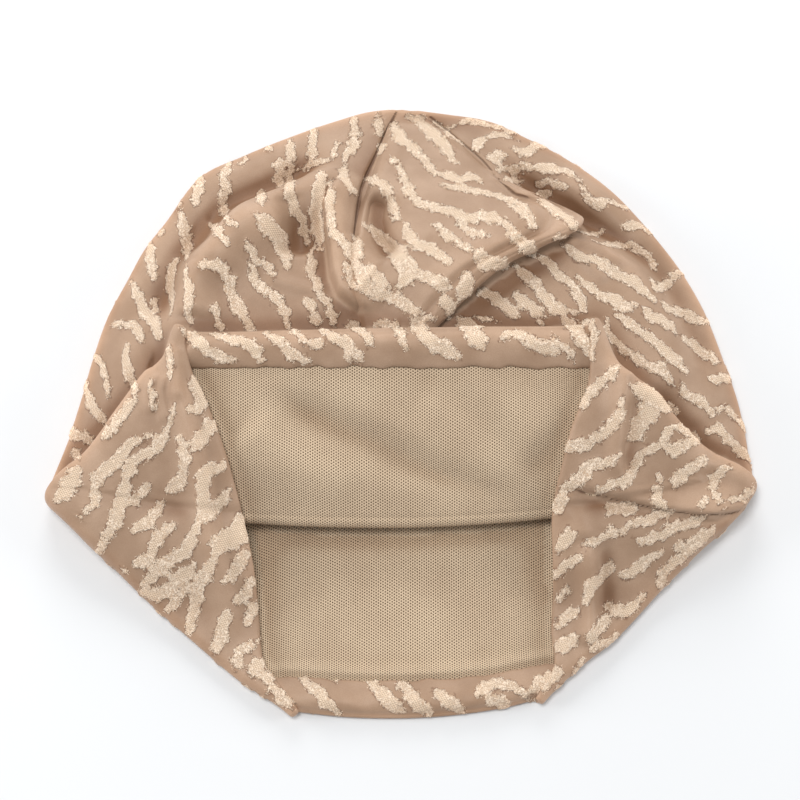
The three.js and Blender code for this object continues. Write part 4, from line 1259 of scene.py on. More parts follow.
# %% Stripes on the side folds
RIGHT_FOLD = [
    ((12, 9, 6), [(618, 367), (607, 378), (596, 388), (585, 399), (577, 412), (569, 429)]),
    ((8, 12, 14), [(624, 398), (620, 414), (610, 427), (597, 438), (583, 445), (568, 446)]),
    ((10, 12, 13), [(619, 455), (610, 462), (592, 466), (580, 478), (567, 487), (560, 493)]),
    ((22, 18, 14), [(652, 404), (646, 416), (635, 433), (630, 438)]),
    ((8, 8), [(662, 447), (651, 449), (642, 457), (636, 466), (628, 473)]),
    ((10, 10), [(634, 475), (624, 482), (612, 485), (601, 491), (596, 495)]),
    ((10, 12), [(676, 426), (664, 437), (670, 450), (683, 446), (698, 439)]),
    ((10, 8), [(676, 426), (690, 434), (698, 439)]),
    ((8, 11, 13), [(705, 458), (694, 466), (683, 475), (675, 485)]),
    ((9, 12, 6), [(729, 465), (718, 474), (713, 487), (717, 498), (723, 509)]),
    ((6, 9, 14), [(659, 473), (659, 485), (658, 498), (664, 509)]),
    ((6, 6), [(706, 498), (702, 508)]),
    ((15, 15), [(606, 508), (620, 509), (635, 508)]),
    ((10, 10), [(673, 511), (659, 514), (646, 521), (630, 524)]),
    ((12, 12), [(704, 518), (687, 524), (670, 530), (653, 538), (635, 540)]),
    ((9, 9), [(626, 530), (609, 534), (598, 541), (584, 544)]),
    ((14, 13), [(713, 530), (699, 541), (687, 547), (675, 546)]),
    ((8, 10, 12), [(691, 552), (678, 560), (665, 570), (659, 587)]),
    ((8, 14, 8), [(662, 552), (647, 561), (635, 570), (621, 576)]),
    ((10, 14, 10), [(610, 560), (603, 573), (592, 586), (586, 601)]),
    ((12, 12), [(569, 529), (568, 537), (561, 546), (557, 552)]),
    ((11, 11), [(581, 556), (571, 561), (560, 570), (555, 578)]),
    ((8, 8), [(569, 586), (563, 595), (557, 601)]),
    ((10, 10), [(577, 612), (566, 618), (557, 625)]),
    ((14, 13), [(577, 639), (568, 642), (558, 650)]),
    ((6, 12, 17), [(647, 593), (638, 602), (624, 612), (610, 607)]),
    ((13, 13), [(607, 615), (598, 630), (590, 641)]),
    ((9, 9), [(620, 636), (604, 644), (592, 650)]),
    ((8, 8), [(584, 658), (575, 671), (568, 680), (558, 687)]),
    ((6, 6), [(755, 485), (744, 497), (731, 500)]),
    ((12, 12), [(563, 494), (560, 503), (557, 512)]),
]
LEFT_FOLD = [
    ((14, 20, 14), [(77, 470), (68, 488), (57, 498)]),
    ((9, 13, 8), [(150, 435), (133, 443), (115, 463), (98, 478), (93, 503), (80, 517)]),
    ((10, 12), [(135, 400), (118, 420), (103, 437)]),
    (
        (9, 13, 15),
        [(175, 405), (168, 428), (153, 450), (133, 463), (125, 485), (118, 510), (108, 535), (98, 552)],
    ),
    ((9, 9), [(150, 485), (135, 500), (120, 508)]),
    ((10, 10), [(163, 500), (150, 520), (130, 532)]),
    ((12, 12), [(173, 525), (158, 537), (150, 557), (135, 565)]),
    ((12, 12), [(180, 438), (185, 463), (178, 485), (168, 490)]),
    ((12, 12), [(193, 378), (203, 403), (188, 410)]),
    ((15, 15), [(213, 423), (203, 435), (195, 448)]),
    ((14, 14), [(225, 465), (205, 475), (203, 503), (203, 520)]),
    ((11, 11), [(230, 490), (215, 508), (205, 522)]),
    ((18, 22, 18), [(237, 517), (240, 535), (222, 542), (215, 550)]),
    ((13, 13), [(215, 555), (205, 577), (198, 590), (193, 617), (188, 632)]),
    ((12, 16), [(198, 522), (188, 547), (168, 562), (143, 585)]),
    ((16, 14), [(193, 565), (178, 582), (163, 592), (143, 592)]),
    ((10, 10), [(203, 585), (183, 592), (168, 610)]),
    ((12, 12), [(247, 552), (235, 570), (225, 582)]),
    ((11, 11), [(252, 577), (247, 592), (235, 602)]),
    ((10, 10), [(255, 605), (247, 622)]),
    ((13, 13), [(227, 612), (220, 635), (215, 652)]),
    ((11, 11), [(257, 640), (240, 652), (235, 670)]),
    ((12, 12), [(260, 660), (252, 675)]),
    ((9, 9), [(267, 682), (282, 697), (293, 707)]),
    ((6, 8, 6), [(170, 345), (171, 378)]),
    ((7, 8), [(150, 380), (153, 410)]),
    ((7, 6), [(121, 569), (125, 571)]),
]
print(len(RIGHT_FOLD) + len(LEFT_FOLD), "stripes on the side folds")

# %% Stripes on the hems
HEM_STRIPES = [
    ((12, 12), [(182, 331), (194, 339), (207, 350), (223, 358), (234, 360)]),
    ((8, 11, 13), [(210, 334), (229, 338), (242, 342), (254, 347), (261, 360)]),
    ((11, 11), [(267, 333), (278, 341), (288, 352), (298, 358), (310, 360)]),
    ((8, 8), [(294, 331), (302, 339), (313, 344), (325, 344)]),
    ((10, 13, 16), [(323, 331), (336, 339), (347, 345), (353, 355), (358, 360)]),
    ((9, 9), [(345, 326), (358, 329), (366, 337), (371, 347)]),
    ((8, 10), [(376, 325), (392, 326), (401, 334), (405, 348)]),
    ((14, 14), [(412, 320), (422, 331), (431, 341), (443, 349), (457, 355)]),
    ((6, 6), [(417, 319), (438, 319)]),
    ((20, 18), [(462, 320), (471, 328), (476, 337), (482, 345)]),
    ((4, 4), [(449, 318), (474, 318), (500, 321)]),
    ((8, 12, 14), [(500, 339), (511, 333), (524, 336), (537, 345), (549, 349), (559, 350)]),
    ((9, 9), [(553, 336), (557, 344), (567, 350), (573, 358)]),
    ((6, 6), [(537, 318), (543, 324)]),
    ((14, 14), [(562, 318), (573, 325), (580, 334), (588, 347), (591, 356)]),
    ((9, 9), [(583, 320), (592, 328), (596, 336)]),
    ((10, 10), [(260, 667), (271, 682), (279, 698), (285, 705)]),
    ((11, 11), [(302, 679), (317, 690), (327, 704), (340, 713)]),
    ((5, 5), [(335, 681), (339, 681)]),
    ((12, 12), [(369, 682), (380, 692), (392, 704), (402, 711)]),
    ((14, 14), [(400, 684), (411, 694), (419, 705), (428, 714)]),
    ((13, 13), [(436, 690), (447, 702), (463, 712)]),
    ((12, 11, 10), [(478, 694), (493, 684), (512, 686), (528, 698)]),
    ((12, 12), [(490, 698), (507, 705)]),
    ((14, 14), [(534, 688), (553, 677), (558, 671)]),
]
print(len(HEM_STRIPES), "stripes on the hems")

# %% [markdown]
# The far side of the cap shows in no photograph, so its stripes are laid by chance, from a fixed seed:
# wavy lines in staggered rows, of the lengths, widths and slant that the near side has.

# %% Stripes on the side that lies on the table
UNDER_SEED, UNDER_GAP, UNDER_STEP = 31, 17.0, 5.5
UNDER_SLANT, UNDER_WIDTH = 68, (2.6, 5.4)


def scattered_stripes():
    chance = np.random.default_rng(UNDER_SEED)
    made = []
    for row, y in enumerate(np.arange(-118.0, 122.0, UNDER_GAP)):
        for x in np.arange(-136.0 + UNDER_GAP / 2 * (row % 2), 140.0, UNDER_GAP * 0.85):
            place = np.array([x, y]) + chance.uniform(-3.5, 3.5, 2)
            slant = math.radians(UNDER_SLANT + chance.uniform(-22, 22))
            line = [place]
            for _ in range(int(chance.integers(2, 6))):
                slant += math.radians(chance.uniform(-24, 24))
                line.append(line[-1] + UNDER_STEP * np.array([math.cos(slant), math.sin(slant)]))
            thick = chance.uniform(*UNDER_WIDTH)
            made.append(((thick * 0.7, thick, thick * 0.6), line))
    return made


UNDERSIDE = scattered_stripes()
print(len(UNDERSIDE), "stripes for the underside")

# %% [markdown]
# Every stripe is drawn out into close points, and each point is dropped along its line of sight on to the
# first cloth it meets. So a stripe follows the folds and ends at an edge, as the woven ones do. Each
# vertex then stores how far it is from the nearest edge of a stripe, negative inside. Such a distance
# stays smooth between vertices, so the edge can be sharper than the mesh.

# %% Lay the stripes on the cloth
STRIPED = (crown_cloth, band_cloth, pleat_cloth)
END_WIDTH, END_GROWTH = 0.45, 3  # share of its width that a stripe has at its ends, and its growth
UNDER_TABLE = -0.1  # metres


def drawn_out(widths, points, step=1.0):
    """Close points and widths along a smooth line through the given ones."""
    points = np.asarray(points, float)
    ends = np.vstack([2 * points[0] - points[1], points, 2 * points[-1] - points[-2]])
    line = []
    for i in range(1, len(ends) - 2):
        before, here, after, last = ends[i - 1], ends[i], ends[i + 1], ends[i + 2]
        count = max(2, int(np.linalg.norm(after - here) / step))
        k = np.linspace(0, 1, count, endpoint=False)[:, None]
        bend = 2 * before - 5 * here + 4 * after - last
        twist = 3 * (here - after) + last - before
        line.append(here + k * (after - before + k * (bend + k * twist)) / 2)
    line = np.vstack([*line, points[-1:]])
    run = np.linspace(0, 1, len(line))
    thick = np.interp(run, np.linspace(0, 1, len(widths)), widths)
    return line, thick * np.minimum(1, END_WIDTH + END_GROWTH * np.minimum(run, 1 - run))


class Laid:
    """The places on each piece of cloth where stripes or seams were laid."""

    def __init__(self):
        self.trees, self.places = {}, {}
        for piece in STRIPED:
            bm = bmesh.new()
            bm.from_mesh(piece.data)
            self.trees[piece.name] = BVHTree.FromBMesh(bm)
            self.places[piece.name] = []
            bm.free()

    def drop(self, start, along, half_width):
        """Keeps the first place that the line meets."""
        best = None
        for name, tree in self.trees.items():
            place, normal, _, away = tree.ray_cast(Vector(start), Vector(along))
            if place is not None and (best is None or away < best[0]):
                best = (away, name, place, normal)
        if best:
            _, name, place, normal = best
            self.places[name].append((place / MM, normal, half_width))


laid = Laid()
for widths, points in LEFT_BODY + RIGHT_BODY + PLEAT_STRIPES + RIGHT_FOLD + LEFT_FOLD + HEM_STRIPES:
    line, thick = drawn_out(widths, points)
    for direction, width in zip(sight(line[:, 0], line[:, 1]), thick):
        laid.drop(EYE * MM, direction, width / 2 * DISTANCE / FOCAL)
for widths, points in UNDERSIDE:
    for (x, y), width in zip(*drawn_out(widths, points, 0.6)):
        laid.drop((x * MM, y * MM, UNDER_TABLE), (0, 0, 1), width / 2)
print({name: len(places) for name, places in laid.places.items()})

# %% [markdown]
# Three seams show: the two that hold the pleat and the one at the back of the band, which now lies on the
# right side fold. A sewn seam is a narrow groove with a dark line of shade in it. The seams are dropped
# on to the cloth in the same way as the stripes, and stored as a second distance.

# %% Seams
SEAMS = [
    [(397, 110), (385, 134), (375, 156), (365, 178), (360, 199), (356, 225), (355, 240)],
    [(430, 116), (453, 134), (481, 158), (495, 174), (512, 192), (528, 198)],
    [(561, 489), (574, 491), (600, 497), (637, 506), (675, 513), (704, 516), (738, 513), (752, 500)],
]
sewn = Laid()
for points in SEAMS:
    line = drawn_out((1, 1), points)[0]
    for direction in sight(line[:, 0], line[:, 1]):
        sewn.drop(EYE * MM, direction, 0.0)
print("seam places", {name: len(places) for name, places in sewn.places.items()})

# %% Distance to the nearest stripe
FAR = 6.0  # nothing further away matters
NEIGHBOURS = 14
SAME_SIDE = 0.15  # least cosine between a vertex and a place, so that no stripe shows through a fold
RAGGED = [(1.6, 0.33), (1.2, 0.8)]  # amount and scale of the uneven edge


def tree_of(places):
    tree = KDTree(len(places))
    for i, (place, _, _) in enumerate(places):
        tree.insert(place, i)
    tree.balance()
    return tree


def seam_distance(piece):
    places = sewn.places[piece.name]
    if not places:
        return np.full(len(piece.data.vertices), FAR)
    tree = tree_of(places)
    return np.array([min(FAR, tree.find(vertex.co / MM)[2]) for vertex in piece.data.vertices])


def stripe_distance(piece):
    """Millimetres from each vertex to the edge of the nearest stripe, negative inside."""
    places = laid.places[piece.name]
    tree = tree_of(places)
    distance = np.full(len(piece.data.vertices), FAR)
    for vertex in piece.data.vertices:
        here, best = vertex.co / MM, FAR
        for _, i, away in tree.find_n(here, NEIGHBOURS):
            _, normal, half_width = places[i]
            if away - half_width < best and normal.dot(vertex.normal) > SAME_SIDE:
                best = away - half_width
        uneven = sum(amount * noise.noise(here * scale) for amount, scale in RAGGED)
        distance[vertex.index] = min(FAR, best + uneven)
    return distance


stripes = {piece.name: stripe_distance(piece) for piece in STRIPED}
seams = {piece.name: seam_distance(piece) for piece in STRIPED}
for name, distance in stripes.items():
    print(name, "covered by stripes:", round(100 * float((distance < 0).mean())), "%")

# %% [markdown]
# The stripes stand up about 0.4 mm, because extra yarn is woven in there and brushed into loops. The
# vertices are pushed out by that much, a little less in the middle of a wide stripe, where the yarn lies
# flat, and by uneven amounts near its edge. Along a seam they are pulled in.

# %% Raise the stripes
STRIPE_HEIGHT, FLAT_MIDDLE, UNEVEN = 0.42, 0.16, 0.14
EDGE_HALF = 0.45  # half of the way in which a stripe rises
FLAT_FROM, FLAT_SPAN = 1.3, 0.8  # how far inside its edge a stripe gets flat
SEAM_DEPTH, SEAM_WIDTH, SEAM_CLEAR = 0.8, 0.9, 1.2


def raise_stripes(piece, seed):
    mesh, distance, seam = piece.data, stripes[piece.name], seams[piece.name]
    place, normal = read(mesh.vertices, "co", 3), read(mesh.vertices, "normal", 3)
    chance = np.random.default_rng(seed).uniform(-1, 1, len(place))
    inside = smooth((EDGE_HALF - distance) / (2 * EDGE_HALF))
    flat = smooth((-distance - FLAT_FROM) / FLAT_SPAN)
    lift = inside * (STRIPE_HEIGHT - FLAT_MIDDLE * flat + UNEVEN * chance * (1 - flat))
    lift = lift * smooth(seam / SEAM_CLEAR) - SEAM_DEPTH * np.exp(-((seam / SEAM_WIDTH) ** 2))
    place = place + normal * (lift * MM)[:, None]
    place[:, 2] = np.maximum(place[:, 2], LOWEST * MM)
    mesh.vertices.foreach_set("co", place.ravel())
    store(mesh, "stripe", distance)
    store(mesh, "seam", seam)
    mesh.update()


for number, piece in enumerate(STRIPED):
    raise_stripes(piece, number)
print("stripes raised by", STRIPE_HEIGHT, "mm")

# %% [markdown]
# The colour of the cloth is painted darker and warmer where it lies in a hollow, as painted shade, and paler
# along its crests, as a painted highlight. A map of the heights, softened by a little and by much, tells one
# from the other: where the wide average is above the near one, the cloth lies in a hollow. Each vertex
# stores that as `hollow`, on the net too. A painted rim light goes along the outline, so each vertex also
# stores `rim`, which is above 0 only along the outline of the crown and the front of the band.

# %% Painted shade and highlight from the heights, and painted rim light
# reaches and full depth of the painted shade and highlight, and how far in the painted rim light reaches
HOLLOW_NEAR, HOLLOW_REACH, HOLLOW_FULL = 1, 7, 3.4
EDGE_FADE, EDGE_SPAN, RIM_LIGHT_REACH, RIM_LIGHT_SPAN = 3, 0.45, 5, 0.48
LESS_PAINTED_SHADE = [((-108, 10), 24, 0.6), ((105, 2), 26, 0.4)]  # the painted shade is weaker in these circles beside the fold tips
BAND_RIM_LIGHT, BAND_RIM_LIGHT_FROM, BAND_RIM_LIGHT_SPAN = 0.5, 14, 8  # the band gets painted rim light only in front of that line


def softened(values, reach):
    """The map blurred by a bell curve of that reach in mm."""
    bell = np.exp(-0.5 * (np.arange(-3 * reach, 3 * reach + 1) / reach) ** 2)
    for axis in (0, 1):
        values = np.apply_along_axis(np.convolve, axis, values, bell / bell.sum(), "same")
    return values


def top_of(pieces):
    """Height of the uppermost vertex in each square millimetre."""
    top = np.zeros(Map.GRID[0].shape)
    for piece in pieces:
        place = places_of(piece.data)
        cell = np.rint(place[:, :2] - Map.LOW).astype(int)
        np.maximum.at(top, (cell[:, 0], cell[:, 1]), place[:, 2])
    for axis in (0, 1):  # close the gaps between vertices
        top = np.maximum(top, np.maximum(np.roll(top, 1, axis), np.roll(top, -1, axis)))
    return top


def rim_light_map(top):
    """Painted rim light: 1 along the outline of the pieces, fading to 0 a few millimetres inside it."""
    return Map(1 - smooth((softened((top > 0).astype(float), RIM_LIGHT_REACH) - 0.5) / RIM_LIGHT_SPAN))


def shade_and_highlight_map(top):
    """Painted shade up to 1 where the surface lies below the mean of its surroundings, highlight down to -1
    above it.
    """
    here = (top > 0).astype(float)
    near, wide = (
        softened(top, reach) / np.maximum(softened(here, reach), 1e-6)
        for reach in (HOLLOW_NEAR, HOLLOW_REACH)
    )
    inside = smooth((softened(here, EDGE_FADE) - 0.5) / EDGE_SPAN)
    x, y = Map.GRID
    for (to_x, to_y), reach, share in LESS_PAINTED_SHADE:
        inside *= 1 - share * np.exp(-((x - to_x) ** 2 + (y - to_y) ** 2) / reach**2)
    return Map(np.clip((wide - near) * inside / HOLLOW_FULL, -1, 1))


# Each vertex stores its painted shade and highlight, and its painted rim light.
def store_painted_light(piece):
    place = places_of(piece.data)
    rim = PAINTED_RIM_LIGHTS[piece.name.split("_")[0]]
    store(piece.data, "hollow", shade_and_highlight.at(place[:, 0], place[:, 1]))
    store(piece.data, "rim", rim.at(place[:, 0], place[:, 1]))


# The painted shade and highlight come from the heights of all the cloth, the painted rim light from its
# outline.
whole_top = top_of([*STRIPED, net_cloth])
shade_and_highlight = shade_and_highlight_map(whole_top)
band_rim_light = rim_light_map(top_of([band_cloth]))
band_rim_light.values *= BAND_RIM_LIGHT * smooth((BAND_RIM_LIGHT_FROM - Map.GRID[1]) / BAND_RIM_LIGHT_SPAN)
no_rim_light = Map(np.zeros(whole_top.shape))
PAINTED_RIM_LIGHTS = {"crown": rim_light_map(whole_top), "band": band_rim_light, "pleat": no_rim_light, "net": no_rim_light}
for piece in (*STRIPED, net_cloth):
    store_painted_light(piece)
deepest, sharpest = float(shade_and_highlight.values.max()), float(shade_and_highlight.values.min())
print("deepest hollow", round(deepest, 2), "sharpest crest", round(sharpest, 2))

# %% [markdown]
# What makes the stripes look like terry is their edge: small loops and loose ends of yarn, which break the
# outline and catch the light. Each is a ribbon of three faces, bent into an arch or a hair. They are all
# cut from one long grid by removing every second row, then each is set on the cloth near an edge.

# %% Loops and loose ends
RIBBON = 3  # faces
LOOP = {"length": (0.4, 0.95), "width": (0.12, 0.24), "height": (0.15, 0.42)}
HAIR = {"length": (0.4, 1.2), "width": (0.08, 0.15), "height": (0.15, 0.4)}
HAIR_SHARE = 0.16
EDGE_AT, EDGE_SPREAD, EDGE_LAST = -0.15, 0.5, 0.5  # where the ribbons stand, by distance from the edge
INNER_SHARE, INNER_FROM = 0.1, -0.5  # a few stand further inside the stripe
TURN, LEAN, ROOT, FOOT = 1.1, 0.25, 0.12, 0.35


def ribbons(name, count):
    """A mesh of separate flat ribbons, and which ribbon, station and side each vertex belongs to."""
    bm = bmesh.new()
    rows = 2 * count - 1
    bmesh.ops.create_grid(bm, x_segments=RIBBON, y_segments=rows, size=0.5)
    between = [f for f in bm.faces if int((f.calc_center_median().y + 0.5) * rows) % 2]
    bmesh.ops.delete(bm, geom=between, context="FACES")
    mesh = mesh_from(bm, name)
    flat = read(mesh.vertices, "co", 3).astype(float) + 0.5
    line = np.rint(flat[:, 1] * rows).astype(int)
    return mesh, line // 2, np.rint(flat[:, 0] * RIBBON).astype(int), line % 2


def near_edges(mesh, distance, count, chance):
    """Places on the cloth close to the edges of the stripes: place, normal, and the way out of the stripe."""
    mesh.calc_loop_triangles()
    corners = read(mesh.loop_triangles, "vertices", 3, np.int32)
    place = places_of(mesh)
    a, b, c = (place[corners[:, i]] for i in range(3))
    square = np.cross(b - a, c - a)
    double = np.linalg.norm(square, axis=1)
    at = distance[corners].mean(axis=1)
    wanted = np.exp(-(((at - EDGE_AT) / EDGE_SPREAD) ** 2)) + INNER_SHARE * (at < INNER_FROM)
    middle = (a + b + c) / 3
    tufts = 1 + np.sin(middle[:, 0] * 1.9 + 2 * np.sin(middle[:, 1] * 1.4))
    wanted = wanted * double * (at < EDGE_LAST) * (0.25 + tufts)
    pick = chance.choice(len(corners), count, p=wanted / wanted.sum())
    u, v = chance.random((2, count, 1))
    over = u + v > 1
    u, v = np.where(over, 1 - u, u), np.where(over, 1 - v, v)
    side_b, side_c = (b - a)[pick], (c - a)[pick]
    foot = a[pick] + u * side_b + v * side_c
    normal = square[pick] / np.maximum(double[pick], 1e-9)[:, None]
    rise_b, rise_c = (distance[corners[pick, i]] - distance[corners[pick, 0]] for i in (1, 2))
    out = np.cross(side_c, normal) * rise_b[:, None] - np.cross(side_b, normal) * rise_c[:, None]
    return foot, normal, out / np.maximum(np.linalg.norm(out, axis=1, keepdims=True), 1e-9)


def terry(name, piece, count, seed):
    """Loops and loose ends on one piece of cloth, as one mesh."""
    chance = np.random.default_rng(seed)
    foot, normal, out = near_edges(piece.data, stripes[piece.name], count, chance)
    loose = chance.random(count) < HAIR_SHARE
    turn = chance.normal(0, TURN, count)[:, None]
    heading = out * np.cos(turn) + np.cross(normal, out) * np.sin(turn)
    heading /= np.linalg.norm(heading, axis=1, keepdims=True)
    aside = np.cross(normal, heading)
    length, width, height = (
        np.where(loose, chance.uniform(*HAIR[key], count), chance.uniform(*LOOP[key], count))
        for key in ("length", "width", "height")
    )
    mesh, ribbon, station, side = ribbons(name, count)
    s = station / RIBBON
    arc = np.where(loose[ribbon], s**1.5, np.sin(math.pi * s) ** 0.8)
    lean = chance.normal(0, LEAN, count)[ribbon] * arc
    where = foot[ribbon] + heading[ribbon] * ((s - FOOT) * length[ribbon])[:, None]
    where += normal[ribbon] * (arc * height[ribbon] - ROOT)[:, None]
    where += aside[ribbon] * ((side - 0.5) * width[ribbon] + lean)[:, None]
    where[:, 2] = np.maximum(where[:, 2], LOWEST)
    mesh.vertices.foreach_set("co", (where * MM).astype(np.float32).ravel())
    mesh.shade_smooth()
    print(name, count, "ribbons")
    return into_scene(name, mesh)


crown_terry = terry("crown_terry", crown_cloth, 33000, 51)
band_terry = terry("band_terry", band_cloth, 33000, 52)
pleat_terry = terry("pleat_terry", pleat_cloth, 11000, 53)
# the loops carry the painted shade, highlight and rim light of the cloth they stand on
for piece in (crown_terry, band_terry, pleat_terry):
    store_painted_light(piece)

# %% [markdown]
# Colours are written as a screen shows them, from 0 to 255, and `tone` turns them into the linear light
# that Blender reckons with. Each cloth has a darker and a paler one, because yarn is never evenly dyed;
# on the terry the darker one also stands for painted shade between the loops.
# One helper multiplies any of them by tints of painted shade, painted highlight and painted rim light.

# %% Colours, and painted shade and light
def tone(red, green, blue):
    """Linear colour from one as a screen shows it. All of these are lighter than the toe of the curve."""
    return tuple(((c / 255 + 0.055) / 1.055) ** 2.4 for c in (red, green, blue))


GROUND, GROUND_PALE, GROUND_THREAD = tone(161, 134, 112), tone(178, 151, 129), tone(140, 108, 86)
STRIPE_SHADE, SEAM_SHADE = tone(118, 88, 68), tone(106, 78, 60)
# the darker terry is partly painted shade between the loops
TERRY_IN_SHADE, TERRY_PALE = tone(203, 177, 152), tone(250, 232, 212)
TWILL, TWILL_PALE = tone(176, 152, 127), tone(243, 223, 201)
YARN, YARN_PALE = tone(220, 195, 169), tone(250, 234, 214)
# the last of these is the cloth seen through the holes, painted much darker as shade
NET_THREAD, NET_PALE, NET_CROSSING, NET_HOLE_SHADED = (
    tone(203, 180, 154),
    tone(214, 192, 165),
    tone(226, 206, 179),
    tone(84, 66, 46),
)
# tints of the painted shade, the painted highlight and the painted rim light
PAINTED_SHADE_TINT, PAINTED_HIGHLIGHT_TINT, PAINTED_RIM_LIGHT_TINT = (0.57, 0.46, 0.38), (1.14, 1.13, 1.12), (1.55, 1.4, 1.28)


def with_painted_light(finish, colour, share):
    """The colour with darker, warmer painted shade in hollow places, and painted highlight on crests and
    along the rim.
    """
    hollow = finish.value("hollow")
    tint = finish.mix(hollow.ramp(0.0, 1.0), (1.0, 1.0, 1.0), PAINTED_SHADE_TINT)
    tint = finish.mix((0 - hollow).ramp(0.0, 1.0), tint, PAINTED_HIGHLIGHT_TINT)
    tint = finish.mix(finish.value("rim"), tint, PAINTED_RIM_LIGHT_TINT)
    return finish.mix(share, colour, tint, "MULTIPLY")


print("ground", np.round(GROUND, 3), "terry", np.round(TERRY_PALE, 3))

# %% [markdown]
# The outer cloth has three finishes that meet at the stripe's edge. The ground is a smooth weave with a
# faint satin sheen and small warm and cool patches. The stripe is matt cream terry, full of tiny bumps,
# and the middle of a wide stripe shows a fine flat twill. A thin darker line lies where the raised yarn
# shades the ground. All of it reads the distance stored on the vertices, so it follows the folds.

# %% Finish of the striped cloth
TWILL_LINES = {"slant": (7200, 4300), "rows": (-2600, 8100)}  # waves in x and y, radians in a metre


def striped_cloth():
    cloth = Finish("stripe_cloth")
    place = cloth.place()
    ragged = cloth.noise(620.0, 3.0, place)
    fine = cloth.noise(1500.0, 2.0, place)
    edge = cloth.value("stripe") + (ragged - 0.5) * 2.0 + (fine - 0.5) * 1.3
    stripe = 1 - edge.ramp(-0.18, 0.18)
    plain = (0 - edge).ramp(1.05, 1.5) * cloth.noise(90.0, 1.0, place).ramp(0.36, 0.5)
    shaded = edge.ramp(0.75, 0.1) * (1 - stripe)
    patches = cloth.noise(55.0, 3.0, place).ramp(0.32, 0.68)
    threads = cloth.noise(2600.0, 1.0, place)
    ground = cloth.mix(patches, GROUND, GROUND_PALE)
    ground = cloth.mix(threads.ramp(0.35, 0.65) * 0.18, ground, GROUND_THREAD)
    ground = cloth.mix(shaded * 0.7, ground, STRIPE_SHADE)
    # the terry is darker where its bump is low, between the loops: painted shade
    curls = 1 - ((cloth.noise(1150.0, 1.0, place) - 0.5) * 7).size()
    curls = curls.ramp(0.0, 1.0)
    x, y = cloth.add("ShaderNodeSeparateXYZ", {}, place)[:2]
    slant, rows = ((x * in_x + y * in_y + ragged * 2).cosine() for in_x, in_y in TWILL_LINES.values())
    weave = slant * 0.25 + rows * 0.25 + 0.5
    raised = cloth.mix(plain, cloth.mix(curls, TERRY_IN_SHADE, TERRY_PALE), cloth.mix(weave, TWILL, TWILL_PALE))
    seam = 1 - cloth.value("seam").ramp(0.2, 0.75)
    colour = cloth.mix(seam * 0.75, cloth.mix(stripe, ground, raised), SEAM_SHADE)
    height = stripe * (0.5 + curls * 0.45 * (1 - plain * 0.7)) + threads * 0.12 + weave * plain * 0.15
    # the base colour gets painted shade, highlight and rim light, less of it on the stripes
    cloth.set(Base_Color=with_painted_light(cloth, colour, 1 - stripe * 0.4), Roughness=0.5 + stripe * 0.4)
    cloth.set(Normal=cloth.bump(height - seam * 0.8, 0.0006, 0.9))
    cloth.set(Specular_IOR_Level=0.28, Sheen_Weight=0.14, Sheen_Roughness=0.3, Sheen_Tint=(1.0, 0.86, 0.74))
    return cloth.material


def terry_yarn():
    yarn = Finish("terry_yarn")
    colour = yarn.mix(yarn.noise(420.0, 1.0).ramp(0.3, 0.7), YARN, YARN_PALE)
    # the loops get painted shade, highlight and rim light
    yarn.set(Base_Color=with_painted_light(yarn, colour, 0.6))
    yarn.set(Roughness=0.92, Specular_IOR_Level=0.2, Sheen_Weight=0.2)
    return yarn.material


cloth_finish, yarn_finish = striped_cloth(), terry_yarn()
print("finishes", cloth_finish.name, yarn_finish.name)

# %% [markdown]
# The lining is a net knit: threads round small staggered holes, 1.7 mm apart across and 0.56 mm from row
# to row. The sum of three cosines has its peaks on just such a lattice. It reads the piece's own UV map,
# which is in true cloth size, so the holes keep their size and follow the folds.

# %% Finish of the net lining
NET_WAVES = [(0.58, 0.888), (-0.58, 0.888), (1.16, 0.0)]  # turns in a millimetre, across and down


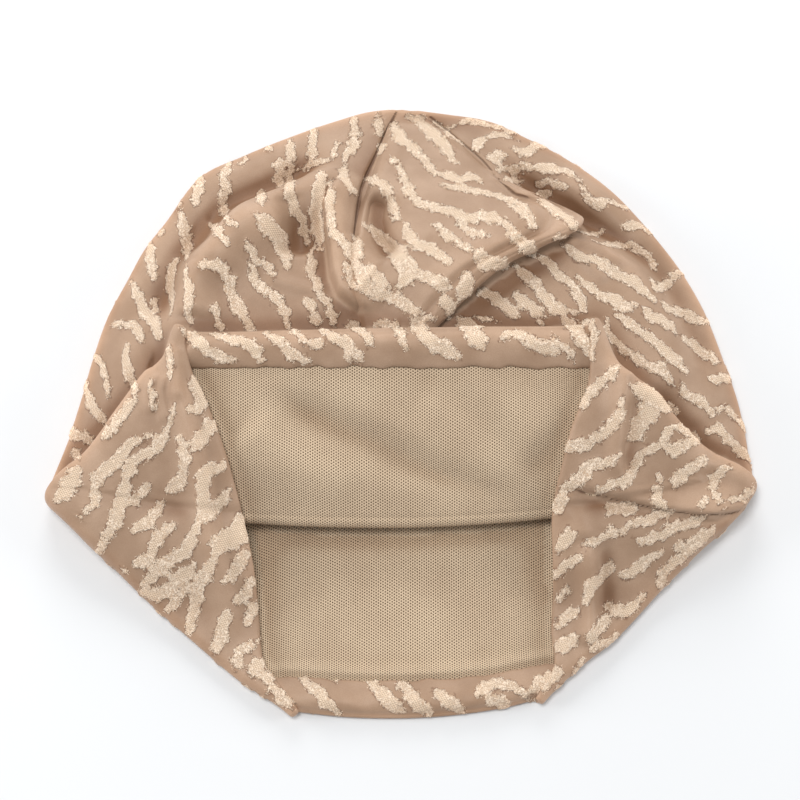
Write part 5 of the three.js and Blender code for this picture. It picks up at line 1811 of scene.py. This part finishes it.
def net_knit():
    net = Finish("net_lining")
    uv = net.add("ShaderNodeUVMap", {"uv_map": "cloth"})[0]
    u, v = net.add("ShaderNodeSeparateXYZ", {}, uv)[:2]
    loose = (net.noise(160.0, 1.0) - 0.5) * 0.9
    turn = 2 * math.pi / MM
    lattice = sum((u * (over * turn) + v * (down * turn) + loose).cosine() for over, down in NET_WAVES)
    hole = lattice.ramp(0.4, 1.7)
    crossing = 1 - lattice.ramp(-1.5, -0.6)
    patches = net.noise(45.0, 2.0).ramp(0.3, 0.7)
    thread = net.mix(crossing * 0.5, net.mix(patches, NET_THREAD, NET_PALE), NET_CROSSING)
    # the holes show the cloth behind the net, with painted shade
    colour = net.mix(hole * 0.95, thread, NET_HOLE_SHADED)
    # the net gets part of the painted shade, highlight and rim light
    net.set(Base_Color=with_painted_light(net, colour, 0.45), Roughness=0.88)
    net.set(Normal=net.bump((0 - lattice) * 0.22 + net.noise(2400.0, 1.0) * 0.12, 0.0004, 0.8))
    net.set(Specular_IOR_Level=0.2, Sheen_Weight=0.12)
    return net.material


net_finish = net_knit()
for piece in STRIPED:
    piece.data.materials.append(cloth_finish)
for piece in (crown_terry, band_terry, pleat_terry):
    piece.data.materials.append(yarn_finish)
net_cloth.data.materials.append(net_finish)
print("finish", net_finish.name, "with holes on", len(NET_WAVES), "waves")

# %% [markdown]
# Last, every piece is tied to the imported model: it rides on the root, and the solid that it stands for is
# hidden. The sheets of cloth are listed with the size that they were cut to, and their areas are printed.

# %% Tie the pieces to the model
OUTER = [crown_cloth, band_cloth, crown_terry, band_terry]
PLEAT_PIECES = [pleat_cloth, pleat_terry]
for piece in (*OUTER, *PLEAT_PIECES, net_cloth):
    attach(piece, "root")
for piece in OUTER:
    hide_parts("outer_shell")
for piece in PLEAT_PIECES:
    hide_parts("crown_pleat")
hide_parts("lining")


def area_of(piece):
    return sum(face.area for face in piece.data.polygons)


RIM_ROUND = 0.54
SHEETS = [  # piece, length of its cut, its flat area, how it lies, on what, and the loops on it
    (crown_cloth, (RIM_ROUND, 0.16), 0.075, "laid", table_top, [crown_terry]),
    (band_cloth, (RIM_ROUND, 0.10), 0.053, "folded", crown_cloth, [band_terry]),
    (pleat_cloth, (0.085, 0.10), 0.0075, "draped", crown_cloth, [pleat_terry]),
    (net_cloth, (RIM_ROUND, 0.215), 0.105, "laid", table_top, []),
]
for piece, cut, flat_area, held, under, loops in SHEETS:
    print(piece.name, "area", round(area_of(piece), 4), "square metres, cut flat", flat_area)
